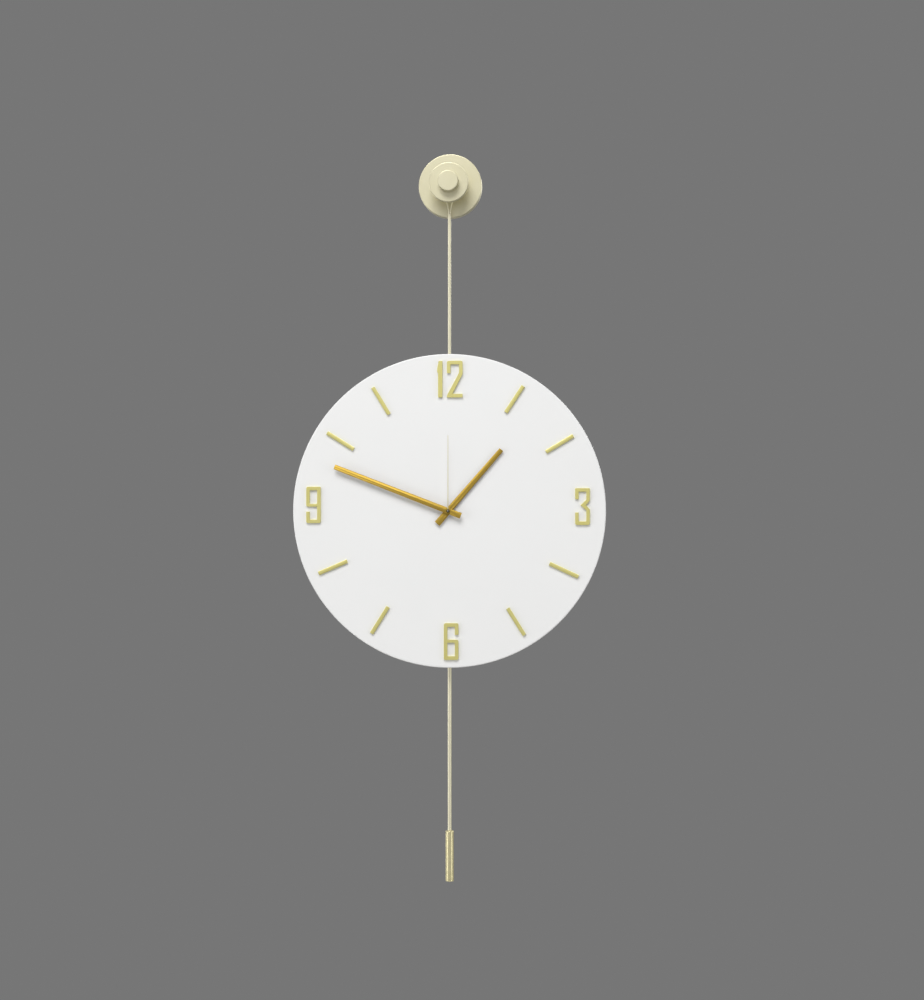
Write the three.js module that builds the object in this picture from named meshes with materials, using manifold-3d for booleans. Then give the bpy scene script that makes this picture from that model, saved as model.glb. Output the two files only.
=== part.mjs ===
// Pendulum wall clock: a wall knob, a round dial hung from it by a wire eye and rod, a battery quartz
// movement behind the dial, and a rod pendulum with a slim cylindrical bob. Millimetres.
//
// The clock is laid out facing the viewer: X to the right, Y up, and Z out from the wall, with the
// middle of the wall knob's back face at the origin. The whole group is turned at the end, so that up is
// +Z and the dial faces -Y. The dial, the movement and the pendulum are drawn around the dial's centre.

import * as THREE from 'three';
import { mergeVertices } from 'three/addons/utils/BufferGeometryUtils.js';
import Module from 'manifold-3d';

const wasm = await Module();
wasm.setup();

// ---- Driving dimensions ----------------------------------------------------------------------------

const GAP = 0.3; // left between any two pieces that touch
const EDGE = 0.5; // chamfer on turned metal edges

const DIAL_RADIUS = 150;
const DIAL_BACK = 24; // distance of the dial's back from the wall
const DIAL_FRONT = 30;
const DIAL_DROP = 314.4; // from the wall knob's axis down to the dial's centre

const FLANGE_RADIUS = 30.6;
const FLANGE_FRONT = 10;
const POST_RADIUS = 5;
const DISC_RADIUS = 18.9;
const DISC_FRONT = 30.3;
const CAP_RADIUS = 9.7;
const CAP_FRONT = 38.3;

const HANGER_Z = 17; // the hanging rod's distance from the wall
const HANGER_RADIUS = 1.5;
const EYE_RADIUS = 6; // centre line of the wire loop round the post
const EYE_APEX = 28.9; // where the loop's two strands would meet, below the post

const CASE = { left: -32, right: 32, bottom: -78, top: 32, back: 6.6, front: 21.4, wall: 1.4 };
const PLATE = { back: CASE.front + GAP, front: 22.9 };

const PENDULUM_Z = 15.5; // the pendulum's distance from the wall
const LEVER_PIVOT = -36; // height of the pendulum's pivot, from the dial's centre
const ROD_RADIUS = 1.83;
const BOB_RADIUS = 4;
const BOB_TOP = -308.5;
const BOB_BOTTOM = -356.8;

const HOUR_ANGLE = 41; // where each hand points, in degrees clockwise from 12
const MINUTE_ANGLE = 291.1;
const SECOND_ANGLE = 0;

// ---- Finishes: colour, roughness, metalness --------------------------------------------------------

const CHAMPAGNE = [0xe4e0bb, 0.35, 1];
const PALE_PLATE = [0xe0dabc, 0.3, 1];
const YELLOW_GOLD = [0xcfc078, 0.4, 1];
const DEEP_GOLD = [0xc6a03c, 0.35, 1];
const SILVER = [0xe4e3e1, 0.35, 1];
const WHITE_LACQUER = [0xececeb, 0.45, 0];
const BLACK_PLASTIC = [0x1c1c1e, 0.55, 0];
const NYLON = [0xe9e6da, 0.5, 0];
const STEEL = [0xb9bbbd, 0.35, 1];
const ZINC = [0xc2c4c0, 0.4, 1];
const COPPER = [0xb4633a, 0.35, 1];
const FERRITE = [0x3a3a3d, 0.5, 0.2];
const FOAM = [0x303032, 0.95, 0];
const GREEN_BOARD = [0x2d6a45, 0.5, 0];
const JACKET = [0x2f5f8f, 0.35, 0.2];
const NICKEL = [0xcfccc2, 0.25, 1];

// ---- Solids ----------------------------------------------------------------------------------------

// Turns a closed geometry into a solid that can be joined and cut.
function solid(geometry) {
  const bare = geometry.clone();
  bare.deleteAttribute('normal');
  bare.deleteAttribute('uv');
  const merged = mergeVertices(bare, 1e-4);
  const corners = merged.index.array;
  const kept = [];
  for (let i = 0; i < corners.length; i += 3) {
    const [a, b, c] = corners.slice(i, i + 3);
    if (a !== b && b !== c && c !== a) kept.push(a, b, c);
  }
  return new wasm.Manifold(new wasm.Mesh({
    numProp: 3,
    vertProperties: Float32Array.from(merged.attributes.position.array),
    triVerts: Uint32Array.from(kept),
  }));
}

// A lathe geometry round the Y axis; the outline runs [radius, height] anticlockwise.
const lathe = (outline, sides) =>
  new THREE.LatheGeometry(outline.map(([r, h]) => new THREE.Vector2(r, h)), sides);

// A solid turned round the Z axis, which points out from the wall.
const turned = (outline, sides = 36) => solid(lathe(outline, sides).rotateX(Math.PI / 2));

// A solid turned round an upright axis.
const upright = (outline, sides = 16) => solid(lathe(outline, sides));

// A solid turned round an axis that runs from left to right.
const sideways = (outline, sides = 24) => solid(lathe(outline, sides).rotateZ(-Math.PI / 2));

// A flat shape given thickness between two distances from the wall.
function plate(shape, back, front, curveSegments = 6) {
  const options = { depth: front - back, bevelEnabled: false, curveSegments };
  return solid(new THREE.ExtrudeGeometry(shape, options).translate(0, 0, back));
}

// A round pin along Z.
const pin = (radius, back, front, x = 0, y = 0, sides = 12) =>
  turned([[0, back], [radius, back], [radius, front], [0, front]], sides).translate([x, y, 0]);

// A round tube along Z.
const tube = (inner, outer, back, front, x = 0, y = 0, sides = 12) =>
  turned([[inner, back], [outer, back], [outer, front], [inner, front], [inner, back]], sides)
    .translate([x, y, 0]);

// An upright box between two corners.
function block([x0, y0, z0], [x1, y1, z1]) {
  const box = new THREE.BoxGeometry(x1 - x0, y1 - y0, z1 - z0);
  return solid(box.translate((x0 + x1) / 2, (y0 + y1) / 2, (z0 + z1) / 2));
}

// A closed shape from corners [x, y, radius]; a corner with a radius is rounded.
function outline(corners) {
  const shape = new THREE.Shape();
  corners.forEach(([x, y, radius = 0], i) => {
    const here = new THREE.Vector2(x, y);
    const [before, after] = [corners.at(i - 1), corners[(i + 1) % corners.length]]
      .map(([px, py]) => new THREE.Vector2(px, py).sub(here).setLength(radius).add(here));
    if (i === 0) shape.moveTo(before.x, before.y);
    else shape.lineTo(before.x, before.y);
    if (radius > 0) shape.quadraticCurveTo(x, y, after.x, after.y);
  });
  return shape;
}

const roundedBox = (x0, y0, x1, y1, radius) =>
  outline([[x0, y0, radius], [x1, y0, radius], [x1, y1, radius], [x0, y1, radius]]);

// A round wire along a smooth curve through points.
function wire(points, radius, steps) {
  const section = new THREE.Shape().absarc(0, 0, radius, 0, 2 * Math.PI);
  const extrudePath = new THREE.CatmullRomCurve3(points.map((p) => new THREE.Vector3(...p)));
  const options = { steps, extrudePath, bevelEnabled: false, curveSegments: 5 };
  return solid(new THREE.ExtrudeGeometry(section, options));
}

// One named piece of the clock, with its own material.
function piece(name, shape, [color, roughness, metalness]) {
  const { vertProperties, triVerts } = shape.getMesh();
  const geometry = new THREE.BufferGeometry();
  geometry.setAttribute('position', new THREE.BufferAttribute(vertProperties, 3));
  geometry.setIndex(new THREE.BufferAttribute(triVerts, 1));
  geometry.computeVertexNormals();
  const mesh = new THREE.Mesh(geometry, new THREE.MeshStandardMaterial({ color, roughness, metalness }));
  mesh.name = name;
  return mesh;
}

// A group of pieces at a place across the clock's face.
function placed(x, y, ...pieces) {
  const group = new THREE.Group();
  group.position.set(x, y, 0);
  group.add(...pieces);
  return group;
}

// ---- Gears -----------------------------------------------------------------------------------------

// Each tooth's thickness, as a share of the tooth spacing, at heights from the pitch line in modules.
const WHEEL_TOOTH = [[-1.2, 0.46], [0.85, 0.14]];
const PINION_TOOTH = [[-1.2, 0.26], [0, 0.36], [0.85, 0.16]];

// A toothed disc whose first tooth points along phase, in radians.
function gear(teeth, module, back, front, phase = 0) {
  const radius = (teeth * module) / 2;
  const tooth = teeth < 20 ? PINION_TOOTH : WHEEL_TOOTH;
  const flanks = [
    ...tooth.map(([height, share]) => [radius + height * module, -share / 2]),
    ...tooth.map(([height, share]) => [radius + height * module, share / 2]).reverse(),
  ];
  const points = [];
  for (let i = 0; i < teeth; i++) {
    for (const [r, offset] of flanks) {
      const angle = phase + ((i + offset) * 2 * Math.PI) / teeth;
      points.push(new THREE.Vector2(r * Math.cos(angle), r * Math.sin(angle)));
    }
  }
  return plate(new THREE.Shape(points), back, front);
}

// The phase that makes a gear mesh with another whose own phase is zero, lying at direction from it.
const meshing = (otherTeeth, teeth, direction) =>
  direction + Math.PI - (Math.PI - otherTeeth * direction) / teeth;

const degrees = THREE.MathUtils.degToRad;
const polar = (radius, angle) => [radius * Math.cos(angle), radius * Math.sin(angle)];

// Tooth counts of each meshing pair: the wheel, then the pinion. One turn of the minute hand is 60 of the
// second hand, 1800 of the rotor and a twelfth of the hour hand.
const CENTRE = { wheel: 45, pinion: 6 };
const THIRD_PAIR = { wheel: 48, pinion: 6 };
const SECOND = { wheel: 36, pinion: 6 };
const STEPPING = { wheel: 30, pinion: 6 };
const MINUTE = { wheel: 30, pinion: 10 };
const HOUR = { wheel: 32, pinion: 8 };

const THIRD_SPAN = 14.4; // centre distances
const MOTION_SPAN = 10.8;
const STEP_SPAN = 12.6;
const ROTOR_SPAN = 9.6;

// The module that makes a pair of gears mesh at a centre distance.
const moduleOf = ({ wheel, pinion }, span) => (2 * span) / (wheel + pinion);

const CENTRE_MODULE = moduleOf(CENTRE, THIRD_SPAN);
const THIRD_MODULE = moduleOf(THIRD_PAIR, THIRD_SPAN);
const SECOND_MODULE = moduleOf(SECOND, STEP_SPAN);
const STEPPING_MODULE = moduleOf(STEPPING, ROTOR_SPAN);
const MINUTE_MODULE = moduleOf(MINUTE, MOTION_SPAN);
const HOUR_MODULE = moduleOf(HOUR, MOTION_SPAN);

const THIRD_WAY = degrees(80); // directions of the gear train's arms
const MOTION_WAY = degrees(20);
const STEP_WAY = degrees(170);

const THIRD = polar(THIRD_SPAN, THIRD_WAY); // arbor positions
const MOTION = polar(MOTION_SPAN, MOTION_WAY);
const SETTING = polar(2 * MOTION_SPAN, MOTION_WAY);
const STEP = polar(STEP_SPAN, STEP_WAY);
const ROTOR = polar(STEP_SPAN + ROTOR_SPAN, STEP_WAY);

const ARBOR = 0.4; // radius of the second hand's arbor
const THIRD_ARBOR = 0.5;
const STUD = 0.4;
const SHAFT_END = 8.1; // where the arbors' back ends turn, in the back case's bosses
const CANNON = { inner: ARBOR + GAP, outer: 1.15, front: 35.7 };
const HOUR_PIPE = { inner: CANNON.outer + GAP, outer: 1.9, front: 33.1 };

function secondWheel() {
  const wheel = gear(SECOND.wheel, SECOND_MODULE, 11.9, 12.7);
  const pinion = gear(THIRD_PAIR.pinion, THIRD_MODULE, 12.6, 15);
  return wheel.add(pinion).add(pin(ARBOR, SHAFT_END, 37.5));
}

function thirdWheel() {
  const phase = meshing(THIRD_PAIR.pinion, THIRD_PAIR.wheel, THIRD_WAY);
  const pinionPhase = meshing(CENTRE.wheel, CENTRE.pinion, THIRD_WAY);
  return gear(THIRD_PAIR.wheel, THIRD_MODULE, 13.7, 14.5, phase)
    .add(gear(CENTRE.pinion, CENTRE_MODULE, 14.4, 16.8, pinionPhase))
    .add(pin(THIRD_ARBOR, SHAFT_END, CASE.front));
}

function centreWheel() {
  return gear(CENTRE.wheel, CENTRE_MODULE, 15.5, 16.5)
    .add(gear(MINUTE.pinion, MINUTE_MODULE, 16.4, 19.2))
    .add(pin(CANNON.outer, 19.1, CANNON.front))
    .subtract(pin(CANNON.inner, 15, CANNON.front + 1));
}

const MINUTE_PHASE = meshing(MINUTE.pinion, MINUTE.wheel, MOTION_WAY);

function minuteWheel() {
  return gear(MINUTE.wheel, MINUTE_MODULE, 17.9, 18.9, MINUTE_PHASE)
    .add(gear(HOUR.pinion, HOUR_MODULE, 18.8, 20.9))
    .subtract(pin(STUD + GAP, 17, 22));
}

function hourWheel() {
  return gear(HOUR.wheel, HOUR_MODULE, 19.6, 20.7, meshing(HOUR.pinion, HOUR.wheel, MOTION_WAY + Math.PI))
    .add(pin(HOUR_PIPE.outer, 20.6, HOUR_PIPE.front))
    .subtract(pin(HOUR_PIPE.inner, 19, HOUR_PIPE.front + 1));
}

function stepWheel() {
  return gear(STEPPING.wheel, STEPPING_MODULE, 10.2, 11)
    .add(gear(SECOND.pinion, SECOND_MODULE, 10.9, 13.2, meshing(SECOND.wheel, SECOND.pinion, STEP_WAY)))
    .subtract(pin(STUD + GAP, 9, 14));
}

const ROTOR_ARBOR = 0.6;
const MAGNET_RADIUS = 2.8;

function rotorPinion() {
  const phase = meshing(STEPPING.wheel, STEPPING.pinion, STEP_WAY);
  return gear(STEPPING.pinion, STEPPING_MODULE, 10, 11.4, phase)
    .add(pin(ROTOR_ARBOR, SHAFT_END, CASE.front));
}

const SET_SHAFT = 1.1;
const SET_KNOB = { radius: 6, back: 3.2, front: CASE.back - GAP, grips: 14 };

// The knob on the back that sets the time, with its shaft and a pinion in mesh with the minute wheel.
function setKnob() {
  let knob = turned([
    [0, SET_KNOB.back], [SET_KNOB.radius - EDGE, SET_KNOB.back], [SET_KNOB.radius, SET_KNOB.back + EDGE],
    [SET_KNOB.radius, SET_KNOB.front], [0, SET_KNOB.front],
  ], 28);
  for (let i = 0; i < SET_KNOB.grips; i++) {
    const [x, y] = polar(SET_KNOB.radius + 0.3, (i * 2 * Math.PI) / SET_KNOB.grips);
    knob = knob.subtract(pin(0.7, SET_KNOB.back - 1, SET_KNOB.front + 1, x, y, 8));
  }
  const lag = Math.PI - MINUTE.wheel * (MOTION_WAY - MINUTE_PHASE);
  const phase = MOTION_WAY + Math.PI - lag / MINUTE.pinion;
  const pinion = gear(MINUTE.pinion, MINUTE_MODULE, 17.4, 19.2, phase);
  return knob.add(pin(SET_SHAFT, 6, CASE.front)).add(pinion);
}

// ---- Wall knob -------------------------------------------------------------------------------------

const WALL_PLATE = { radius: 25, thick: 2.5, rim: 6.5, rimInner: 22.5, bossRadius: 7, boss: 6.7 };
const THREAD = 3; // radius of the M6 studs
const SCREW_HOLE = { radius: 2.25, offset: 14.5 };
const GRUB = { radius: 1.5, z: 4, outer: -30.2, socket: 0.8 };
const POST_FRONT = 24;
const POST_BORE = 13; // how far from the wall the post's front bore starts
const CAP_PIN = 2.2;

function wallPlate() {
  const { radius, thick, rim, rimInner, bossRadius, boss } = WALL_PLATE;
  let body = turned([
    [0, 0], [radius, 0], [radius, rim], [rimInner, rim], [rimInner, thick], [bossRadius, thick],
    [bossRadius, boss], [THREAD + GAP, boss], [THREAD + GAP, 2], [0, 2],
  ]);
  for (const side of [-1, 1]) {
    body = body.subtract(pin(SCREW_HOLE.radius, -1, thick + 1, side * SCREW_HOLE.offset, 0));
  }
  return body;
}

function flangeCup() {
  const [inner, bore] = [FLANGE_RADIUS - 1.6, POST_RADIUS + GAP];
  const shell = turned([
    [inner, GAP], [FLANGE_RADIUS, GAP], [FLANGE_RADIUS, FLANGE_FRONT - EDGE],
    [FLANGE_RADIUS - EDGE, FLANGE_FRONT], [bore, FLANGE_FRONT], [bore, 8], [inner, 8], [inner, GAP],
  ], 48);
  const radius = GRUB.radius + GAP;
  const hole = upright([[0, -33], [radius, -33], [radius, -27], [0, -27]], 12);
  return shell.subtract(hole.translate([0, 0, GRUB.z]));
}

function grubScrew() {
  const tip = -WALL_PLATE.radius - GAP;
  const body = upright([
    [0, GRUB.outer], [GRUB.radius, GRUB.outer], [GRUB.radius, tip - 0.8], [0.6, tip], [0, tip],
  ], 12);
  const socket = upright([[0, -32], [GRUB.socket, -32], [GRUB.socket, -28.6], [0, -28.6]], 6);
  return body.subtract(socket).translate([0, 0, GRUB.z]);
}

const hangerPost = () => turned([
  [0, 2 + GAP], [THREAD, 2 + GAP], [THREAD, WALL_PLATE.boss + GAP], [POST_RADIUS, WALL_PLATE.boss + GAP],
  [POST_RADIUS, POST_FRONT], [THREAD + GAP, POST_FRONT], [THREAD + GAP, POST_BORE], [0, POST_BORE],
], 24);

const retainingDisc = () => turned([
  [0, POST_BORE + 0.5], [THREAD, POST_BORE + 0.5], [THREAD, POST_FRONT + GAP],
  [DISC_RADIUS - EDGE, POST_FRONT + GAP], [DISC_RADIUS, POST_FRONT + GAP + EDGE],
  [DISC_RADIUS, DISC_FRONT - EDGE], [DISC_RADIUS - EDGE, DISC_FRONT],
  [CAP_PIN + GAP, DISC_FRONT], [CAP_PIN + GAP, 27.2], [0, 27.2],
]);

const endCap = () => turned([
  [0, 27.2 + GAP], [CAP_PIN, 27.2 + GAP], [CAP_PIN, DISC_FRONT + GAP],
  [CAP_RADIUS - EDGE, DISC_FRONT + GAP], [CAP_RADIUS, DISC_FRONT + GAP + EDGE],
  [CAP_RADIUS, CAP_FRONT - EDGE], [CAP_RADIUS - EDGE, CAP_FRONT], [0, CAP_FRONT],
], 32);

// ---- Hanger: wire eye, rod and the bracket on the dial's back --------------------------------------

const WIRE = 0.65;
const COLLAR = { top: -25.6, bottom: -28.3 }; // where the eye's two strands are swaged together
const STEM = { radius: 0.7, bottom: -36.5 };
const HANGER_FOOT = 84; // the rod's lower end, above the dial's centre
const BRACKET = { back: 22.2, front: DIAL_BACK - GAP, screwX: 9, screwY: 88.5 };

function hangerEye() {
  const slant = Math.asin(EYE_RADIUS / EYE_APEX);
  const loop = [];
  const turns = 14;
  for (let i = 0; i <= turns; i++) {
    const [x, y] = polar(EYE_RADIUS, -slant + (i / turns) * (Math.PI + 2 * slant));
    loop.push([x, y, 0]);
  }
  let body = wire(loop, WIRE, 20);
  const length = EYE_APEX * Math.cos(slant) - 1.5;
  for (const side of [-1, 1]) {
    const strand = upright([[0, 0], [WIRE, 0], [WIRE, length + 0.2], [0, length + 0.2]], 10);
    const [x, y] = polar(1.5, Math.PI / 2 - side * slant);
    body = body.add(strand.rotate([0, 0, -side * THREE.MathUtils.radToDeg(slant)])
      .translate([x, y - EYE_APEX, 0]));
  }
  const collar = upright([
    [0, STEM.bottom], [STEM.radius, STEM.bottom], [STEM.radius, COLLAR.bottom],
    [HANGER_RADIUS, COLLAR.bottom], [HANGER_RADIUS, COLLAR.top - 0.6], [1, COLLAR.top], [0, COLLAR.top],
  ]);
  return body.add(collar).translate([0, 0, HANGER_Z]);
}

function hangerRod() {
  const [foot, top] = [HANGER_FOOT - DIAL_DROP, COLLAR.bottom - GAP];
  const bore = STEM.radius + GAP;
  return upright([
    [0, foot], [HANGER_RADIUS, foot], [HANGER_RADIUS, top], [bore, top],
    [bore, STEM.bottom - GAP], [0, STEM.bottom - GAP],
  ]).translate([0, 0, HANGER_Z]);
}

function hangerBracket() {
  const base = plate(roundedBox(-14, 79, 14, 98, 3), BRACKET.back, BRACKET.front);
  const socket = block([-4.2, 80, 13.3], [4.2, 98, BRACKET.back + 0.1]);
  const radius = HANGER_RADIUS + GAP;
  const [foot, mouth] = [HANGER_FOOT - GAP, 99];
  const bore = upright([[0, foot], [radius, foot], [radius, mouth], [0, mouth]], 16);
  let body = base.add(socket).subtract(bore.translate([0, 0, HANGER_Z]));
  for (const side of [-1, 1]) {
    body = body.subtract(pin(PAN_SCREW.shank + GAP, 20, 25, side * BRACKET.screwX, BRACKET.screwY));
  }
  return body;
}

const PAN_SCREW = { head: 3, shank: 1.3, height: 1.8, tip: 28.5 };

// A pan head screw driven towards the dial, its head bearing on a surface at seat.
function panScrew(seat) {
  const under = seat - GAP;
  const { head, shank, height, tip } = PAN_SCREW;
  let body = turned([
    [0, under - height], [head * 0.6, under - height], [head, under - height * 0.45], [head, under],
    [shank, under], [shank, tip - 1.5], [0, tip],
  ], 16);
  for (const [wide, tall] of [[1.7, 0.35], [0.35, 1.7]]) {
    body = body.subtract(block([-wide, -tall, under - height - 1], [wide, tall, under - height + 0.9]));
  }
  return body;
}

// ---- Dial, numerals and hour bars ------------------------------------------------------------------

const DIAL_EDGE = 1;
const MARK_HEIGHT = 1.6; // how far the numerals and bars stand above the dial
const NUMERAL_HALF = 17.5; // half of the numerals' height
const STROKE = 3.4;
const DIGITS = {
  one: [-7.8, 125.8], two: [6.1, 125.8], three: [127.7, 4.2], six: [2.6, -124.7], nine: [-130, 5.7],
};
const BAR = { middle: 123.7, half: 15, width: 3.6, shoulder: 0.8 };
// Where each hour bar's middle lies and where it points, both in degrees clockwise from 12. The bars
// were set by eye, so neither is quite a multiple of 30.
const HOUR_BARS = {
  1: [30.7, 33.5], 2: [59, 59.2], 4: [117.1, 114.9], 5: [148.5, 147.9],
  7: [212.2, 211.9], 8: [244, 246.8], 10: [302.8, 301.8], 11: [328.4, 328.7],
};
const EARS = { x: 36.5, y: 12, radius: 4.5 };

function dial() {
  const hole = HOUR_PIPE.outer + GAP + 0.9;
  let disc = turned([
    [hole, DIAL_BACK], [DIAL_RADIUS - DIAL_EDGE, DIAL_BACK], [DIAL_RADIUS, DIAL_BACK + DIAL_EDGE],
    [DIAL_RADIUS, DIAL_FRONT - DIAL_EDGE], [DIAL_RADIUS - DIAL_EDGE, DIAL_FRONT],
    [hole, DIAL_FRONT], [hole, DIAL_BACK],
  ], 80);
  for (const side of [-1, 1]) {
    for (const [x, y] of [[side * BRACKET.screwX, BRACKET.screwY], [side * EARS.x, EARS.y]]) {
      disc = disc.subtract(pin(PAN_SCREW.shank + GAP, DIAL_BACK - 1, PAN_SCREW.tip + GAP, x, y));
    }
  }
  return disc;
}

const marked = (shape) => plate(shape, DIAL_FRONT + GAP, DIAL_FRONT + GAP + MARK_HEIGHT, 3);

function numeralOne() {
  const [half, top] = [2.1, NUMERAL_HALF];
  return marked(outline([
    [half, top, 0.6], [half, -top, 0.6], [-half, -top, 0.6], [-half, 5.4],
    [-half - 0.9, 7], [-half - 0.9, 9.5], [-half + 0.5, top, 1],
  ]));
}

function numeralTwo() {
  const [half, top, inner] = [7.5, NUMERAL_HALF, NUMERAL_HALF - STROKE];
  return marked(outline([
    [-half, 5.7], [-half, top, 2], [half, top, 2], [half, 5, 1], [-2.4, -inner], [half, -inner],
    [half, -top], [-half, -top], [-half, -top + 1.8], [half - STROKE, 6.1, 1],
    [half - STROKE, inner, 1], [STROKE - half, inner, 1], [STROKE - half, 5.7],
  ]));
}

function numeralThree() {
  const [half, top, inner] = [7, NUMERAL_HALF, NUMERAL_HALF - STROKE];
  const stem = half - STROKE;
  return marked(outline([
    [-half, 6.8], [-half, top], [half, top, 0.8], [half, 5.6, 1], [3.2, 1.3], [half, -2.6, 1],
    [half, -top, 2], [-half, -top, 2], [-half, -5.6], [-stem, -5.6], [-stem, -inner, 0.8],
    [stem, -inner, 0.8], [stem, -3.6], [-1.9, 1.3], [stem, 6.4], [stem, inner], [-stem, inner],
    [-stem, 6.8],
  ]));
}

function numeralNine() {
  const [half, top, inner] = [7, NUMERAL_HALF, NUMERAL_HALF - STROKE];
  const stem = half - STROKE;
  const shape = outline([
    [-half, -1.7, 2], [-half, top, 2], [half, top, 1.2], [half, -top, 2], [-half, -top, 2],
    [-half, -6.4], [-stem, -6.4], [-stem, -inner, 0.8], [stem, -inner, 0.8], [stem, -1.7],
  ]);
  shape.holes.push(roundedBox(-stem, 1, stem, inner, 0.6));
  return marked(shape);
}

const numeralSix = () => numeralNine().rotate([0, 0, 180]);

// A bar with a low ridge, from one height to another along Y. Its sides are upright as far as shoulder,
// a share of its height, and it narrows evenly from width at the bottom to tipWidth at the top.
function ridged(bottom, top, width, back, height, shoulder, tipWidth = width) {
  const [half, crown, edge] = [width / 2, width * 0.16, height * shoulder];
  const section = new THREE.Shape([
    [-half, 0], [half, 0], [half, edge], [crown, height], [-crown, height], [-half, edge],
  ].map(([x, y]) => new THREE.Vector2(x, y)));
  const bar = new THREE.ExtrudeGeometry(section, { depth: top - bottom, bevelEnabled: false });
  bar.rotateX(Math.PI / 2).translate(0, top, back);
  const spots = bar.getAttribute('position');
  for (let i = 0; i < spots.count; i += 1) {
    const [x, along] = [spots.getX(i), (spots.getY(i) - bottom) / (top - bottom)];
    spots.setX(i, x - (Math.sign(x) * along * (width - tipWidth)) / 2);
  }
  return solid(bar);
}

const hourBar = () =>
  ridged(-BAR.half, BAR.half, BAR.width, DIAL_FRONT + GAP, MARK_HEIGHT, BAR.shoulder);

// ---- Hands -----------------------------------------------------------------------------------------

// Each gold hand is widest at its tail and narrows evenly to its tip.
const HOUR_HAND = { tip: 77.3, tail: 16.3, width: 6.2, tipWidth: 4.4, back: 31.3 + GAP, hub: 3.1 };
const MINUTE_HAND = { tip: 117, tail: 13, width: 5.7, tipWidth: 4.8, back: 34, hub: 2.9 };
const HAND_HEIGHT = 1.2;
const HAND_SHOULDER = 0.5;
const SECOND_HAND = { tip: 72, width: 0.8, back: 36.3, thick: 0.4, hub: 1.5 };

function barHand({ tip, tail, width, tipWidth, back, hub }, bore) {
  return ridged(-tail, tip, width, back, HAND_HEIGHT, HAND_SHOULDER, tipWidth)
    .add(pin(hub, back, back + HAND_HEIGHT, 0, 0, 20))
    .subtract(pin(bore, back - 1, back + HAND_HEIGHT + 1));
}

function secondHand() {
  const { tip, width, back, thick, hub } = SECOND_HAND;
  return block([-width / 2, 0, back], [width / 2, tip, back + thick])
    .add(pin(hub, back - 0.3, back + 1, 0, 0, 16))
    .subtract(pin(ARBOR + GAP, back - 1, back + 2));
}

// ---- Movement case ---------------------------------------------------------------------------------

const BATTERY = { radius: 7.25, half: 25.25, y: -22.5, z: 14.15 };
const POCKET = { x: 27.6, bottom: -30.3, top: -14.7, wall: 0.9 };
const BOARD = { left: 13.5, right: 29.8, bottom: 12, top: 29.8, back: 8.9, thick: 0.8 };
const DRIVE_COIL = { y: -58, inner: 3.5, outer: 9, back: 8.1, front: 12.4 };
const SLOT = { half: 9.5, back: 13.2, front: 18.8 }; // the pendulum lever's way out of the case
const PIVOT = 0.9;

const caseOutline = (inset, radius) => roundedBox(
  CASE.left + inset, CASE.bottom + inset, CASE.right - inset, CASE.top - inset, radius,
);

function backCase() {
  const floor = CASE.back + 1.2;
  let body = plate(caseOutline(0, 4), CASE.back, CASE.front)
    .subtract(plate(caseOutline(CASE.wall, 2.6), floor, CASE.front + 1));
  const { x, bottom, top, wall } = POCKET;
  body = body
    .add(block([-x - wall, bottom - wall, CASE.back + 0.1], [x + wall, top + wall, CASE.front - 0.1]))
    .subtract(block([-x, bottom, CASE.back - 1], [x, top, CASE.front + 1]))
    .subtract(block([-SLOT.half, CASE.bottom - 1, SLOT.back], [SLOT.half, CASE.bottom + 3, SLOT.front]));
  for (const [[bx, by], bore] of [[[0, 0], ARBOR], [THIRD, THIRD_ARBOR], [ROTOR, ROTOR_ARBOR]]) {
    body = body.add(tube(bore + GAP, bore + 1.1, floor - 0.1, floor + 1.2, bx, by));
  }
  body = body.add(pin(STUD, floor - 0.1, 13.6, ...STEP));
  body = body.add(tube(PIVOT + GAP, PIVOT + 1.4, floor - 0.1, 10.5, 0, LEVER_PIVOT));
  body = body.add(pin(DRIVE_COIL.inner - GAP - 0.5, floor - 0.1, DRIVE_COIL.front, 0, DRIVE_COIL.y));
  for (const py of [BOARD.bottom + 2, BOARD.top - 2]) {
    body = body.add(pin(1.6, floor - 0.1, BOARD.back - GAP, BOARD.right - 2.5, py));
  }
  return body.subtract(pin(SET_SHAFT + GAP, CASE.back - 1, floor + 1, ...SETTING));
}

function frontPlate() {
  let body = plate(caseOutline(0, 4), PLATE.back, PLATE.front);
  for (const side of [-1, 1]) {
    const ear = block([Math.min(0, side * EARS.x), EARS.y - EARS.radius, PLATE.back],
      [Math.max(0, side * EARS.x), EARS.y + EARS.radius, PLATE.front]);
    body = body.add(ear).add(pin(EARS.radius, PLATE.back, PLATE.front, side * EARS.x, EARS.y, 20))
      .subtract(pin(PAN_SCREW.shank + GAP, PLATE.back - 1, PLATE.front + 1, side * EARS.x, EARS.y));
  }
  body = body.subtract(pin(HOUR_PIPE.outer + GAP, PLATE.back - 1, PLATE.front + 1));
  return body.add(pin(STUD, 17.4, PLATE.back + 0.1, ...MOTION));
}

function foamGasket() {
  const shape = caseOutline(2, 3);
  shape.holes.push(caseOutline(6, 2));
  return plate(shape, PLATE.front + 0.25, DIAL_BACK - 0.25);
}

// ---- Electrical parts ------------------------------------------------------------------------------

const COIL = { x: -24.5, z: 13.95, bottom: 11, top: 27, flange: 3.6, winding: 3.3, tube: 2.3 };
const CORE = { half: 1.5, back: 13.4, front: 14.5, bottom: 7.4, top: 30 };
const STATOR = { back: 14.8, front: 15.8, left: -27.9, right: -15.6, bottom: -2.2, hole: 3.4 };

const circuitBoard = () =>
  block([BOARD.left, BOARD.bottom, BOARD.back], [BOARD.right, BOARD.top, BOARD.back + BOARD.thick]);

function controlChip() {
  const base = BOARD.back + BOARD.thick + GAP;
  return turned([[0, base], [3, base], [2.7, base + 0.7], [1.8, base + 1.1], [0, base + 1.3]], 16)
    .translate([19, 23.5, 0]);
}

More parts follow.
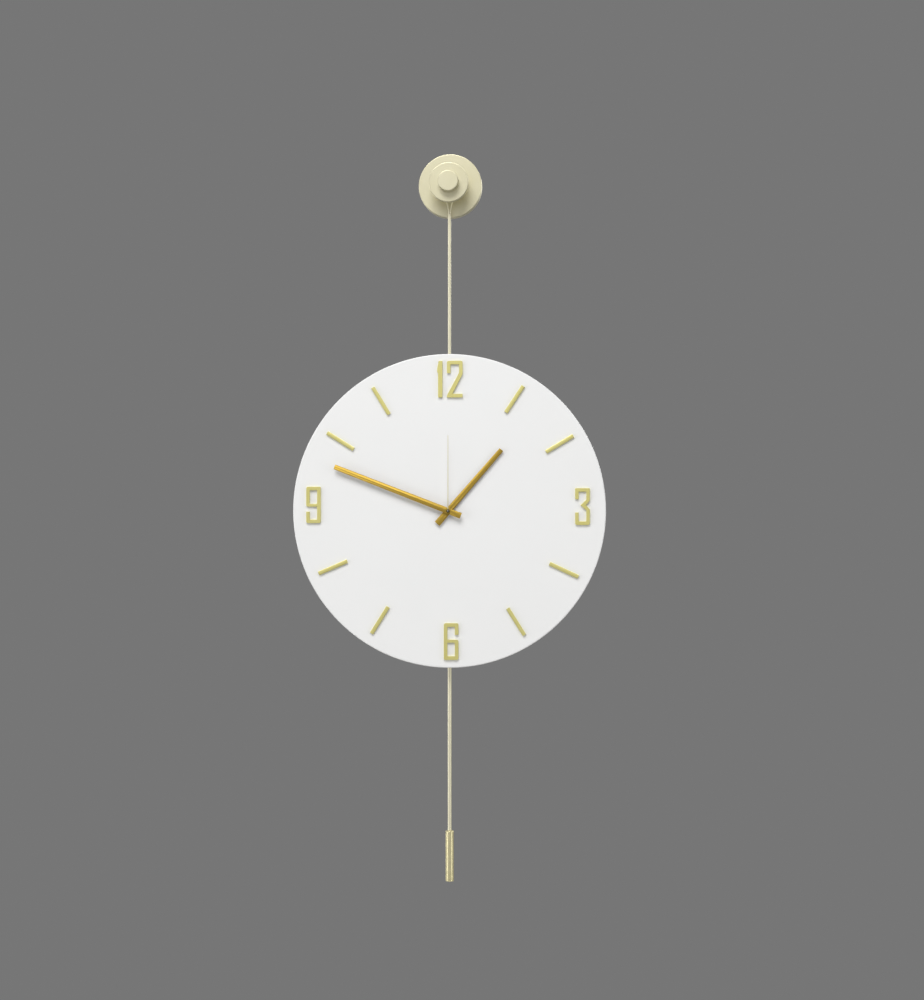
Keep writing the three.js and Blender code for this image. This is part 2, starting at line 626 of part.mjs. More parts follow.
function quartzCrystal() {
  const can = upright([[0, 0], [0.9, 0], [1, 0.2], [1, 5.6], [0.7, 6], [0, 6]], 16);
  return can.translate([26.5, 16, BOARD.back + BOARD.thick + GAP + 1]);
}

const coilCore = () => block([COIL.x - CORE.half, CORE.bottom, CORE.back],
  [COIL.x + CORE.half, CORE.top, CORE.front]);

function coilBobbin() {
  const { x, z, bottom, top, flange, tube: barrel } = COIL;
  const inner = barrel - 0.4;
  return upright([
    [inner, bottom], [flange, bottom], [flange, bottom + 0.8], [barrel, bottom + 0.8],
    [barrel, top - 0.8], [flange, top - 0.8], [flange, top], [inner, top], [inner, bottom],
  ], 20).translate([x, 0, z]);
}

function motorCoil() {
  const { x, z, bottom, top, winding, tube: barrel } = COIL;
  const [low, high, inner] = [bottom + 0.8 + GAP, top - 0.8 - GAP, barrel + GAP];
  return upright([[inner, low], [winding, low], [winding, high], [inner, high], [inner, low]], 20)
    .translate([x, 0, z]);
}

// The stator's plate runs round the rotor and up beside the coil to its far end.
function stator() {
  const { left, right, bottom, back, front, hole } = STATOR;
  const [lobe, arm, bridge] = [10.2, right - 4, 27.6];
  const shape = outline([
    [left, bottom, 2], [right, bottom, 2], [right, CORE.top, 1.5], [left + 0.4, CORE.top, 1],
    [left + 0.4, bridge], [arm, bridge, 1], [arm, lobe], [left, lobe, 1],
  ]);
  shape.holes.push(new THREE.Path().absarc(...ROTOR, hole, 0, 2 * Math.PI));
  return plate(shape, back, front, 10);
}

// A bent strip of sheet metal standing at one end of the battery pocket.
function contact(side, reach) {
  const [near, far, thick] = [BATTERY.half + 0.35, POCKET.x - GAP, 0.4];
  const middle = BATTERY.y;
  const strip = new THREE.Shape([
    [far, middle + 7.2], [far - thick, middle + 7.2], [far - thick, middle + 6], [near, middle + reach],
    [near, middle - reach], [far - thick, middle - 6], [far, middle - 6],
    [near + thick, middle - reach], [near + thick, middle + reach], [far, middle + 6],
  ].map(([x, y]) => new THREE.Vector2(side * x, y)));
  return plate(strip, 9, 19.5);
}

const driveCoil = () => tube(DRIVE_COIL.inner, DRIVE_COIL.outer, DRIVE_COIL.back, DRIVE_COIL.front,
  0, DRIVE_COIL.y, 28);

const battery = () => sideways([
  [0, -BATTERY.half], [6.4, -BATTERY.half], [BATTERY.radius, -BATTERY.half + 0.8],
  [BATTERY.radius, BATTERY.half - 2.1], [6.4, BATTERY.half - 1.4], [2.75, BATTERY.half - 1.4],
  [2.75, BATTERY.half - 0.2], [2.4, BATTERY.half], [0, BATTERY.half],
], 32).translate([0, BATTERY.y, BATTERY.z]);

// ---- Pendulum --------------------------------------------------------------------------------------

const LEVER = { back: 14.5, front: 16.5, half: 2.5, hub: 3.2, ring: 7, eye: -83, eyeRadius: 3.2 };
const LEVER_MAGNET = { radius: 5, back: 14, front: 17 };
const HOOK = { wire: 0.55, stem: -97, rodTop: -92 };

const leverPivot = () => pin(PIVOT, 8.1, CASE.front, 0, LEVER_PIVOT);

function swingLever() {
  const { back, front, half, hub, ring, eye, eyeRadius } = LEVER;
  return block([-half, eye, back], [half, LEVER_PIVOT, front])
    .add(pin(hub, back - 1.5, front + 1.5, 0, LEVER_PIVOT, 20))
    .add(pin(ring, back, front, 0, DRIVE_COIL.y, 28))
    .add(pin(eyeRadius, back, front, 0, eye, 20))
    .subtract(pin(PIVOT + GAP, back - 3, front + 3, 0, LEVER_PIVOT))
    .subtract(pin(LEVER_MAGNET.radius + GAP, back - 1, front + 1, 0, DRIVE_COIL.y, 24))
    .subtract(pin(1.5, back - 1, front + 1, 0, eye));
}

const leverMagnet = () =>
  pin(LEVER_MAGNET.radius, LEVER_MAGNET.back, LEVER_MAGNET.front, 0, DRIVE_COIL.y, 24);

// A wire hook that passes from front to back through the lever's eye and down into the rod.
function pendulumHook() {
  const z = PENDULUM_Z;
  return wire([
    [0, HOOK.stem, z], [0, -91.5, z], [0, -88.2, z + 1.7], [0, -85.2, z + 3.3], [0, LEVER.eye, z + 2.8],
    [0, LEVER.eye, z], [0, LEVER.eye, z - 2.6], [0, -85, z - 3.1], [0, -87, z - 2.7],
  ], HOOK.wire, 24);
}

const ROD_TIP = { radius: 1.45, bottom: -320 }; // the rod's threaded end, inside the bob

const pendulumRod = () => upright([
  [0, ROD_TIP.bottom], [ROD_TIP.radius, ROD_TIP.bottom], [ROD_TIP.radius, BOB_TOP + GAP],
  [ROD_RADIUS, BOB_TOP + GAP], [ROD_RADIUS, HOOK.rodTop], [HOOK.wire + GAP, HOOK.rodTop],
  [HOOK.wire + GAP, HOOK.stem - GAP], [0, HOOK.stem - GAP],
], 20).translate([0, 0, PENDULUM_Z]);

const pendulumBob = () => upright([
  [0, BOB_BOTTOM], [BOB_RADIUS - GAP, BOB_BOTTOM], [BOB_RADIUS, BOB_BOTTOM + GAP],
  [BOB_RADIUS, BOB_TOP - GAP], [BOB_RADIUS - GAP, BOB_TOP], [ROD_TIP.radius + GAP, BOB_TOP],
  [ROD_TIP.radius + GAP, ROD_TIP.bottom - GAP], [0, ROD_TIP.bottom - GAP],
], 28).translate([0, 0, PENDULUM_Z]);

// ---- Assembly --------------------------------------------------------------------------------------

function wallKnob() {
  return placed(0, 0,
    piece('wall_plate', wallPlate(), ZINC),
    piece('flange_cup', flangeCup(), CHAMPAGNE),
    piece('flange_grub_screw', grubScrew(), STEEL),
    piece('hanger_post', hangerPost(), CHAMPAGNE),
    piece('retaining_disc', retainingDisc(), CHAMPAGNE),
    piece('end_cap', endCap(), CHAMPAGNE));
}

function hanger() {
  return placed(0, 0,
    piece('hanger_eye', hangerEye(), PALE_PLATE),
    piece('hanger_rod', hangerRod(), PALE_PLATE));
}

function dialFace() {
  const face = placed(0, 0,
    piece('dial', dial(), WHITE_LACQUER),
    placed(...DIGITS.one, piece('numeral_12_left', numeralOne(), YELLOW_GOLD)),
    placed(...DIGITS.two, piece('numeral_12_right', numeralTwo(), YELLOW_GOLD)),
    placed(...DIGITS.three, piece('numeral_3', numeralThree(), YELLOW_GOLD)),
    placed(...DIGITS.six, piece('numeral_6', numeralSix(), YELLOW_GOLD)),
    placed(...DIGITS.nine, piece('numeral_9', numeralNine(), YELLOW_GOLD)));
  for (const [hour, [way, lean]] of Object.entries(HOUR_BARS)) {
    const bar = piece(`hour_bar_${hour}`, hourBar(), YELLOW_GOLD);
    bar.position.set(BAR.middle * Math.sin(degrees(way)), BAR.middle * Math.cos(degrees(way)), 0);
    bar.rotation.z = -degrees(lean);
    face.add(bar);
  }
  return face;
}

function backFittings() {
  const fittings = placed(0, 0,
    piece('hanger_bracket', hangerBracket(), STEEL),
    piece('foam_gasket', foamGasket(), FOAM));
  for (const [side, name] of [[-1, 'left'], [1, 'right']]) {
    fittings.add(
      placed(side * BRACKET.screwX, BRACKET.screwY,
        piece(`bracket_screw_${name}`, panScrew(BRACKET.back), ZINC)),
      placed(side * EARS.x, EARS.y, piece(`movement_screw_${name}`, panScrew(PLATE.back), ZINC)));
  }
  return fittings;
}

function movement() {
  return placed(0, 0,
    piece('movement_back_case', backCase(), BLACK_PLASTIC),
    piece('movement_front_plate', frontPlate(), BLACK_PLASTIC),
    piece('circuit_board', circuitBoard(), GREEN_BOARD),
    piece('control_chip', controlChip(), BLACK_PLASTIC),
    piece('quartz_crystal', quartzCrystal(), NICKEL),
    piece('coil_core', coilCore(), STEEL),
    piece('coil_bobbin', coilBobbin(), NYLON),
    piece('motor_coil', motorCoil(), COPPER),
    piece('stator', stator(), STEEL),
    piece('contact_positive', contact(1, 2.6), NICKEL),
    piece('contact_negative', contact(-1, 1.2), NICKEL),
    piece('drive_coil', driveCoil(), COPPER),
    piece('lever_pivot', leverPivot(), STEEL),
    piece('battery', battery(), JACKET));
}

function gearTrain() {
  return placed(0, 0,
    piece('second_wheel', secondWheel(), NYLON),
    piece('centre_wheel', centreWheel(), NYLON),
    piece('hour_wheel', hourWheel(), NYLON),
    placed(...THIRD, piece('third_wheel', thirdWheel(), NYLON)),
    placed(...MOTION, piece('minute_wheel', minuteWheel(), NYLON)),
    placed(...SETTING, piece('set_knob', setKnob(), BLACK_PLASTIC)),
    placed(...STEP, piece('step_wheel', stepWheel(), NYLON)),
    placed(...ROTOR,
      piece('rotor_pinion', rotorPinion(), NYLON),
      piece('rotor_magnet', tube(ROTOR_ARBOR + GAP, MAGNET_RADIUS, 14, 16.6, 0, 0, 20), FERRITE)));
}

function hands() {
  const hour = piece('hour_hand', barHand(HOUR_HAND, HOUR_PIPE.outer + GAP), DEEP_GOLD);
  const minute = piece('minute_hand', barHand(MINUTE_HAND, CANNON.outer + GAP), DEEP_GOLD);
  const second = piece('second_hand', secondHand(), SILVER);
  hour.rotation.z = -degrees(HOUR_ANGLE);
  minute.rotation.z = -degrees(MINUTE_ANGLE);
  second.rotation.z = -degrees(SECOND_ANGLE);
  return placed(0, 0, hour, minute, second);
}

function pendulum() {
  return placed(0, 0,
    piece('swing_lever', swingLever(), BLACK_PLASTIC),
    piece('lever_magnet', leverMagnet(), FERRITE),
    piece('pendulum_hook', pendulumHook(), STEEL),
    piece('pendulum_rod', pendulumRod(), PALE_PLATE),
    piece('pendulum_bob', pendulumBob(), CHAMPAGNE));
}

const clock = new THREE.Group();
clock.add(
  wallKnob(),
  hanger(),
  placed(0, -DIAL_DROP, dialFace(), backFittings(), movement(), gearTrain(), hands(), pendulum()),
);
clock.rotation.x = Math.PI / 2;

export default clock;
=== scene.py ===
"""A pendulum wall clock: wall knob, wire hanger, round dial, quartz movement and rod pendulum.

Every piece is built in millimetres on the clock's face: x to the right, y up and z out from the
wall, with the wall knob's axis through the origin. FACE then takes it to metres, with z up and
the face towards -Y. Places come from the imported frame's own boxes.
"""

from __future__ import annotations

import logging
import math
from dataclasses import dataclass, field
from enum import Enum
from typing import Iterable, Sequence, Union

import bmesh
import bpy
from mathutils import Matrix, Vector

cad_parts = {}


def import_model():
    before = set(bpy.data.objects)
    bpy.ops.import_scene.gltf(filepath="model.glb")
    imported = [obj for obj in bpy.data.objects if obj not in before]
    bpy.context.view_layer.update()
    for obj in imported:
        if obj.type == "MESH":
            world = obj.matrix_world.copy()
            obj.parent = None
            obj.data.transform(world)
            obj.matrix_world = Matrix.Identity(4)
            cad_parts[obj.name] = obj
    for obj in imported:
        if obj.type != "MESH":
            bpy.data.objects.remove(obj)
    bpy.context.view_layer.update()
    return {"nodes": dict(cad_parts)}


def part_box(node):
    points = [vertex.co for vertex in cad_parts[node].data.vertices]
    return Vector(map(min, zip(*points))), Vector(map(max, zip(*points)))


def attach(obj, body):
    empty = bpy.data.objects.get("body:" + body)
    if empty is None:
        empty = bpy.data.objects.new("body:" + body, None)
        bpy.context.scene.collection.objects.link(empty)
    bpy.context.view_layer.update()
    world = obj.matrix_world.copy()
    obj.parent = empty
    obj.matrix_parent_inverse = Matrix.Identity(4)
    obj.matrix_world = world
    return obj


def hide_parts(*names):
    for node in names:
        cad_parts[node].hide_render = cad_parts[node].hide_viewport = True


log = logging.getLogger("pendulum_clock")

Point = tuple[float, float]
Corner = Union[tuple[float, float], tuple[float, float, float]]
Place = tuple[float, float, float]
Value = Union[bpy.types.NodeSocket, float, int, bool, Sequence[float], None]

MM = 0.001
MICRON = 1e-6
TINY = 1e-6
LEAST_SHARE = 0.5  # a piece has at least this share of its frame nodes' volume
FACE = Matrix.Scale(MM, 4) @ Matrix.Rotation(math.pi / 2, 4, "X")

MIX_A, MIX_B, MIX_COLOUR = 6, 7, 2  # socket places of a colour Mix node


# ---- Nodes ---------------------------------------------------------------------------------------


def linear(colour: str) -> tuple[float, float, float, float]:
    """Turns an sRGB hex colour into linear light.

    Args:
        colour: Six hex digits after a hash.

    Returns:
        Red, green, blue and an alpha of 1.
    """
    shares = [int(colour[i : i + 2], 16) / 255 for i in (1, 3, 5)]
    red, green, blue = (c / 12.92 if c <= 0.04045 else ((c + 0.055) / 1.055) ** 2.4 for c in shares)
    return red, green, blue, 1.0


def add(
    tree: bpy.types.NodeTree,
    kind: str,
    settings: dict[str, object] | None = None,
    inputs: dict[str | int, Value] | None = None,
) -> bpy.types.Node:
    """Adds one node to a tree.

    Args:
        tree: The node tree.
        kind: The node's type.
        settings: The node's own settings, by name.
        inputs: A value or an output socket for each input, by name or place.

    Returns:
        The new node.
    """
    node = tree.nodes.new(kind)
    for key, value in (settings or {}).items():
        setattr(node, key, value)
    for key, value in (inputs or {}).items():
        if isinstance(value, bpy.types.NodeSocket):
            tree.links.new(value, node.inputs[key])
        else:
            node.inputs[key].default_value = value
    return node


# ---- Finishes ------------------------------------------------------------------------------------


class Relief(Enum):
    """What a surface's fine relief is made of."""

    GRAIN = "grain"  # random, as fine or as drawn out as its size says
    RINGS = "rings"  # rings round the wall knob's axis, on whichever piece they are
    HOOPS = "hoops"  # hoops, one above another
    CELLS = "cells"  # small closed bubbles


@dataclass(frozen=True)
class Finish:
    """A real material and how its surface was made.

    Sizes are in millimetres and relief depth in microns. The relief's three sizes run across, out
    from the wall and up, before it is turned by angle degrees on the clock's face.
    """

    name: str
    slot: str
    colour: str
    shade: str
    blotch: float = 25.0
    metallic: float = 0.0
    roughness: tuple[float, float] = (0.4, 0.5)
    relief: Relief = Relief.GRAIN
    size: Place = (1.0, 1.0, 1.0)
    depth: float = 10.0
    angle: float = 0.0
    coat: float = 0.0
    ior: float = 1.5

    def material(self) -> bpy.types.Material:
        """Gives the material, which is built the first time.

        Returns:
            The material.
        """
        known = bpy.data.materials.get(self.name)
        if known:
            return known
        material = bpy.data.materials.new(self.name)
        material.use_nodes = True
        tree = material.node_tree
        shader = tree.nodes["Principled BSDF"]
        shader.inputs["Metallic"].default_value = self.metallic
        if not self.metallic:
            shader.inputs["IOR"].default_value = self.ior
        if self.coat:
            shader.inputs["Coat Weight"].default_value = self.coat
            shader.inputs["Coat Roughness"].default_value = 0.12
        place = add(tree, "ShaderNodeTexCoord").outputs["Object"]
        tree.links.new(self.tint(tree, place), shader.inputs["Base Color"])
        height = self.height(tree, place)
        low, high = self.roughness
        rough = add(tree, "ShaderNodeMapRange",
            inputs={"Value": height, "To Min": high, "To Max": low})
        tree.links.new(rough.outputs["Result"], shader.inputs["Roughness"])
        bump = add(tree, "ShaderNodeBump", inputs={
            "Strength": 1.0, "Distance": self.depth * MICRON, "Height": height,
        })
        tree.links.new(bump.outputs["Normal"], shader.inputs["Normal"])
        return material

    def tint(self, tree: bpy.types.NodeTree, place: bpy.types.NodeSocket) -> bpy.types.NodeSocket:
        """Mixes the colour and its shade in soft blotches.

        Args:
            tree: The material's nodes.
            place: Object coordinates.

        Returns:
            The colour's socket.
        """
        blotches = add(tree, "ShaderNodeTexNoise", inputs={
            "Vector": place, "Scale": 1 / (self.blotch * MM), "Detail": 3.0, "Roughness": 0.6,
        })
        return add(tree, "ShaderNodeMix", {"data_type": "RGBA"}, {
            "Factor": blotches.outputs["Fac"], MIX_A: linear(self.colour),
            MIX_B: linear(self.shade),
        }).outputs[MIX_COLOUR]

    def height(self, tree: bpy.types.NodeTree, place: bpy.types.NodeSocket) -> bpy.types.NodeSocket:
        """Draws the relief at its real size.

        Args:
            tree: The material's nodes.
            place: Object coordinates.

        Returns:
            The height's socket, from 0 to 1.
        """
        fitted = add(tree, "ShaderNodeMapping", {"vector_type": "TEXTURE"}, {
            "Vector": place,
            "Rotation": (0.0, math.radians(self.angle), 0.0),
            "Scale": tuple(s * MM for s in self.size),
        }).outputs["Vector"]
        if self.relief is Relief.GRAIN:
            return add(tree, "ShaderNodeTexNoise", inputs={
                "Vector": fitted, "Scale": 1.0, "Detail": 2.0, "Roughness": 0.55,
            }).outputs["Fac"]
        if self.relief is Relief.CELLS:
            return add(tree, "ShaderNodeTexVoronoi", {"feature": "F1"}, {
                "Vector": fitted, "Scale": 1.0,
            }).outputs["Distance"]
        rings = self.relief is Relief.RINGS
        settings = {"wave_type": "RINGS", "rings_direction": "Y"} if rings else {
            "wave_type": "BANDS", "bands_direction": "Z",
        }
        # A wave's scale of pi / 10 gives one ring for each unit, which is the ring spacing here.
        return add(tree, "ShaderNodeTexWave", settings, {
            "Vector": fitted, "Scale": math.pi / 10, "Distortion": 0.4, "Detail": 2.0,
            "Detail Scale": 0.3,
        }).outputs["Fac"]


@dataclass(frozen=True)
class BatteryFilm(Finish):
    """Printed film shrunk round a cell: two plain bands of metallic ink under gloss."""

    band: str = "#b8793c"
    band_start: float = 9.0

    def tint(self, tree: bpy.types.NodeTree, place: bpy.types.NodeSocket) -> bpy.types.NodeSocket:
        """Adds the second band's colour towards the positive end.

        Args:
            tree: The material's nodes.
            place: Object coordinates.

        Returns:
            The colour's socket.
        """
        first = super().tint(tree, place)
        across = add(tree, "ShaderNodeSeparateXYZ", inputs={"Vector": place}).outputs["X"]
        edge = self.band_start * MM
        banded = add(tree, "ShaderNodeMapRange", inputs={
            "Value": across, "From Min": edge, "From Max": edge + 0.2 * MM,
        }).outputs["Result"]
        return add(tree, "ShaderNodeMix", {"data_type": "RGBA"}, {
            "Factor": banded, MIX_A: first, MIX_B: linear(self.band),
        }).outputs[MIX_COLOUR]


@dataclass(frozen=True)
class CircuitLaminate(Finish):
    """Etched copper under solder mask: paler tracks on a darker green ground."""

    track: float = 2.2

    def tint(self, tree: bpy.types.NodeTree, place: bpy.types.NodeSocket) -> bpy.types.NodeSocket:
        """Draws the tracks as a net of lines.

        Args:
            tree: The material's nodes.
            place: Object coordinates.

        Returns:
            The colour's socket.
        """
        net = add(tree, "ShaderNodeTexVoronoi", {"feature": "DISTANCE_TO_EDGE"}, {
            "Vector": place, "Scale": 1 / (self.track * MM),
        })
        lines = add(tree, "ShaderNodeMapRange", inputs={
            "Value": net.outputs["Distance"], "From Min": 0.10, "From Max": 0.14,
        }).outputs["Result"]
        return add(tree, "ShaderNodeMix", {"data_type": "RGBA"}, {
            "Factor": lines, MIX_A: linear(self.colour), MIX_B: linear(self.shade),
        }).outputs[MIX_COLOUR]


# Brass, turned on a lathe and plated in champagne gold. The lathe's rings spread the highlight a
# little. Real rings are 0.1 mm apart, too fine to show, so they are drawn at 0.6 mm.
# Its colour is painted darker than the bob's copy of this plating: painted shade that keeps the
# knob's flat faces from glaring under the lights.
TURNED_CHAMPAGNE_PAINTED_DARKER = Finish(
    "turned_champagne_plate_painted_darker", "champagne_gold", "#dedac0", "#d6d0ae", blotch=30, metallic=0.7,
    roughness=(0.38, 0.46), relief=Relief.RINGS, size=(0.6, 0.6, 0.6), depth=3,
)
# The same plating on the bob, which was turned upright between centres, so its rings are hoops.
# Its colour is painted lighter than the knob's: painted light that makes the slim round bob as
# bright as the knob's flat faces.
HOOPED_CHAMPAGNE_PAINTED_LIGHTER = Finish(
    "hooped_champagne_plate_painted_lighter", "champagne_gold", "#f0e8c0", "#e6dca8", blotch=20, metallic=0.7,
    roughness=(0.32, 0.40), relief=Relief.HOOPS, size=(0.6, 0.6, 0.6), depth=3,
)
# Steel rod, drawn through a die and plated: long faint streaks along it, and a narrow bright line.
DRAWN_ROD = Finish(
    "drawn_pale_plated_rod", "plated_rod", "#ebe6ca", "#e3dec2", blotch=18, metallic=0.4,
    roughness=(0.36, 0.44), size=(0.35, 0.35, 45.0), depth=4,
)
# Yellow gold plate on satin-blasted castings: an even soft sheen with a faint grain, drawn at 0.7
# mm.
SATIN_GOLD = Finish(
    "satin_yellow_gold_plate", "yellow_gold", "#e6df98", "#dcd380", blotch=14, metallic=0.6,
    roughness=(0.42, 0.52), size=(0.7, 0.7, 0.7), depth=5,
)
# Stamped brass hands, brushed from end to end and lacquered: a deeper gold with streaks along them.
BRUSHED_BRASS_HOUR = Finish(
    "brushed_brass_hour_hand", "hand_gold", "#b89a42", "#ad9038", blotch=12, metallic=0.75,
    roughness=(0.46, 0.56), size=(0.3, 0.3, 28.0), depth=5, angle=41.0,
)
BRUSHED_BRASS_MINUTE = Finish(
    "brushed_brass_minute_hand", "hand_gold", "#b89a42", "#ad9038", blotch=12, metallic=0.75,
    roughness=(0.46, 0.56), size=(0.3, 0.3, 28.0), depth=5, angle=291.1,
)
# Aluminium strip with a satin anodised skin, dyed pale gold: even, with faint streaks along it.
ANODISED_PALE = Finish(
    "anodised_pale_aluminium", "hand_silver", "#dbd3a6", "#d2c998", blotch=10, metallic=0.5,
    roughness=(0.40, 0.48), size=(0.2, 0.2, 20.0), depth=3,
)
# Bush: nearly black, with a dull sheen.
NEARLY_BLACK_BUSH = Finish(
    "nearly_black_bush", "black_plastic", "#080504", "#0c0806", blotch=2,
    roughness=(0.50, 0.60), relief=Relief.RINGS, size=(0.3, 0.3, 0.3), depth=3,
)
# Fibreboard sprayed with white satin lacquer: the spray's orange peel, about 1.8 mm from dip to
# dip.
SPRAYED_LACQUER = Finish(
    "sprayed_white_lacquer", "white_lacquer", "#f0f1f2", "#edeeef", blotch=90,
    roughness=(0.36, 0.44), size=(1.8, 1.8, 1.8), depth=9, coat=0.15, ior=1.5,
)
# ABS moulded in a spark-eroded tool: an even fine grain, drawn at 0.45 mm, that dulls the black.
MOULDED_BLACK = Finish(
    "moulded_black_abs", "black_plastic", "#1d1d1f", "#262628", blotch=18,
    roughness=(0.42, 0.60), size=(0.45, 0.45, 0.45), depth=22, ior=1.54,
)
# Acetal gears, moulded in a polished tool: milky white, waxy, with faint flow marks.
MOULDED_ACETAL = Finish(
    "moulded_white_acetal", "white_nylon", "#ece9de", "#e2ded0", blotch=5,
    roughness=(0.30, 0.42), size=(0.8, 0.8, 0.8), depth=6, ior=1.48,
)
# Cold-rolled steel, bright: faint rolling lines across the strip.
ROLLED_STEEL = Finish(
    "cold_rolled_bright_steel", "bright_steel", "#c4c6c8", "#adb0b3", blotch=12, metallic=1.0,
    roughness=(0.26, 0.38), size=(18.0, 0.25, 0.25), depth=4,
)
# Zinc plate, passivated: pale grey with a faint blue and yellow bloom from the dip.
PASSIVATED_ZINC = Finish(
    "passivated_zinc_plate", "zinc_plate", "#c6cad0", "#c8c5b4", blotch=6, metallic=1.0,
    roughness=(0.30, 0.42), size=(0.5, 0.5, 0.5), depth=6,
)
# Enamelled copper wire, wound in even turns. The wire is 0.1 mm thick and is drawn at 0.35 mm.
WOUND_COPPER = Finish(
    "wound_enamelled_copper", "enamelled_copper", "#b5602f", "#8f4520", blotch=8, metallic=1.0,
    roughness=(0.22, 0.36), relief=Relief.HOOPS, size=(0.35, 0.35, 0.35), depth=60, coat=0.5,
)
# The pendulum's flat coil shows its turns. Their rings keep the wall knob's axis, not the coil's,
# so they cross it as nearly straight lines.
RING_WOUND_COPPER = Finish(
    "ring_wound_enamelled_copper", "enamelled_copper", "#b5602f", "#8f4520", blotch=8, metallic=1.0,
    roughness=(0.22, 0.36), relief=Relief.RINGS, size=(0.35, 0.35, 0.35), depth=60, coat=0.5,
)
# Sintered ferrite magnet: charcoal grey, dull, with a fine pressed grain.
SINTERED_FERRITE = Finish(
    "sintered_ferrite", "ferrite", "#3b3b3e", "#303033", blotch=2, metallic=0.2,
    roughness=(0.45, 0.62), size=(0.25, 0.25, 0.25), depth=14, ior=1.8,
)
# Closed-cell foam pad, die cut: soft dark cells about 0.7 mm across.
CLOSED_CELL_FOAM = Finish(
    "closed_cell_foam", "foam", "#37373a", "#2b2b2e", blotch=5, roughness=(0.85, 0.98),
    relief=Relief.CELLS, size=(0.7, 0.7, 0.7), depth=160, ior=1.4,
)
# Paper laminate with etched copper tracks under green solder mask.
PRINTED_BOARD = CircuitLaminate(
    "solder_masked_laminate", "circuit_board", "#4f9160", "#24583a", roughness=(0.30, 0.42),
    size=(0.6, 0.6, 0.6), depth=8, coat=0.3,
)
# Polyester film, printed in plain metallic inks and shrunk on: gloss over a faint crinkle.
SHRUNK_FILM = BatteryFilm(
    "shrunk_metallic_film", "battery_jacket", "#27323f", "#2e3b4a", blotch=15, metallic=0.55,
    roughness=(0.22, 0.32), size=(5.0, 1.2, 1.2), depth=9, coat=0.6,
)
# Nickel-plated spring strip and battery caps: warm silver, nearly mirror bright, fine polish lines.
NICKEL_PLATE = Finish(
    "nickel_plated_strip", "nickel", "#d8d3c8", "#c8c2b5", blotch=7, metallic=1.0,
    roughness=(0.14, 0.26), size=(0.3, 0.3, 6.0), depth=3,
)


# ---- Meshes --------------------------------------------------------------------------------------


class Axis(Enum):
    """Which way a turned piece's axis points on the clock's face."""

    OUT = Matrix.Identity(4)
    UP = Matrix.Rotation(-math.pi / 2, 4, "X")
    ACROSS = Matrix.Rotation(math.pi / 2, 4, "Y")


class Joining(Enum):
    """How two solids are put together."""

    UNION = "UNION"
    CUT = "DIFFERENCE"


@dataclass(frozen=True)
class Extent:
    """A frame node's box at rest, in millimetres on the clock's face."""

    left: float
    right: float
    bottom: float
    top: float
    back: float
    front: float

    @classmethod
    def of(cls, node: str) -> Extent:
        """Reads a node's box.

        Args:
            node: The frame node's name.

        Returns:
            Its extent.
        """
        low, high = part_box(node)
        sides = (low[0], high[0], low[2], high[2], -high[1], -low[1])
        return cls(*(side / MM for side in sides))

    @property
    def radius(self) -> float:
        """Half of the width."""
        return (self.right - self.left) / 2

    @property
    def x(self) -> float:
        """The middle, from left to right."""
        return (self.left + self.right) / 2

    @property
    def y(self) -> float:
        """The middle height."""
        return (self.bottom + self.top) / 2

    @property
    def z(self) -> float:
        """The middle, from back to front."""
        return (self.back + self.front) / 2


def rounded(corners: Sequence[Corner], closed: bool = True, steps: int = 5) -> list[Point]:
    """Rounds an outline's corners.

    Args:
        corners: Each corner's place, with a radius where it is rounded.
        closed: Whether the last corner joins the first.
        steps: Pieces in each rounded corner.

    Returns:
        The outline's points.
    """
    points: list[Point] = []
    for i, (x, y, *rest) in enumerate(corners):
        here = Vector((x, y))
        if not rest or (not closed and i in (0, len(corners) - 1)):
            points.append((x, y))
            continue
        before, after = (
            here + (Vector(other[:2]) - here).normalized() * rest[0]
            for other in (corners[i - 1], corners[(i + 1) % len(corners)])
        )
        for k in range(steps + 1):
            t = k / steps
            spot = before * (1 - t) ** 2 + here * 2 * t * (1 - t) + after * t**2
            points.append((spot.x, spot.y))
    return points


def box_outline(left: float, bottom: float, right: float, top: float, radius: float) -> list[Point]:
    """Gives a rectangle with rounded corners.

    Args:
        left: Its left side.
        bottom: Its lower side.
        right: Its right side.
        top: Its upper side.
        radius: How far each rounded corner reaches along the sides.

    Returns:
        The outline's points.
    """
    ends = ((left, bottom), (right, bottom), (right, top), (left, top))
    return rounded([(x, y, radius) for x, y in ends])


def circle(radius: float, x: float = 0.0, y: float = 0.0, sides: int = 48) -> list[Point]:
    """Gives a circle as an outline.

    Args:
        radius: Its radius.
        x: Its middle, from left to right.
        y: Its middle height.
        sides: How many points it has.

    Returns:
        The outline's points.
    """
    angles = (2 * math.pi * i / sides for i in range(sides))
    return [(x + radius * math.cos(a), y + radius * math.sin(a)) for a in angles]


def outward(solid: bmesh.types.BMesh) -> None:
    """Turns a closed solid's faces outwards.

    Args:
        solid: The solid. A thin ring can come out of the first step inside out, which its volume
            shows.
    """
    bmesh.ops.recalc_face_normals(solid, faces=solid.faces)
    if solid.calc_volume(signed=True) < 0:
        bmesh.ops.reverse_faces(solid, faces=solid.faces)


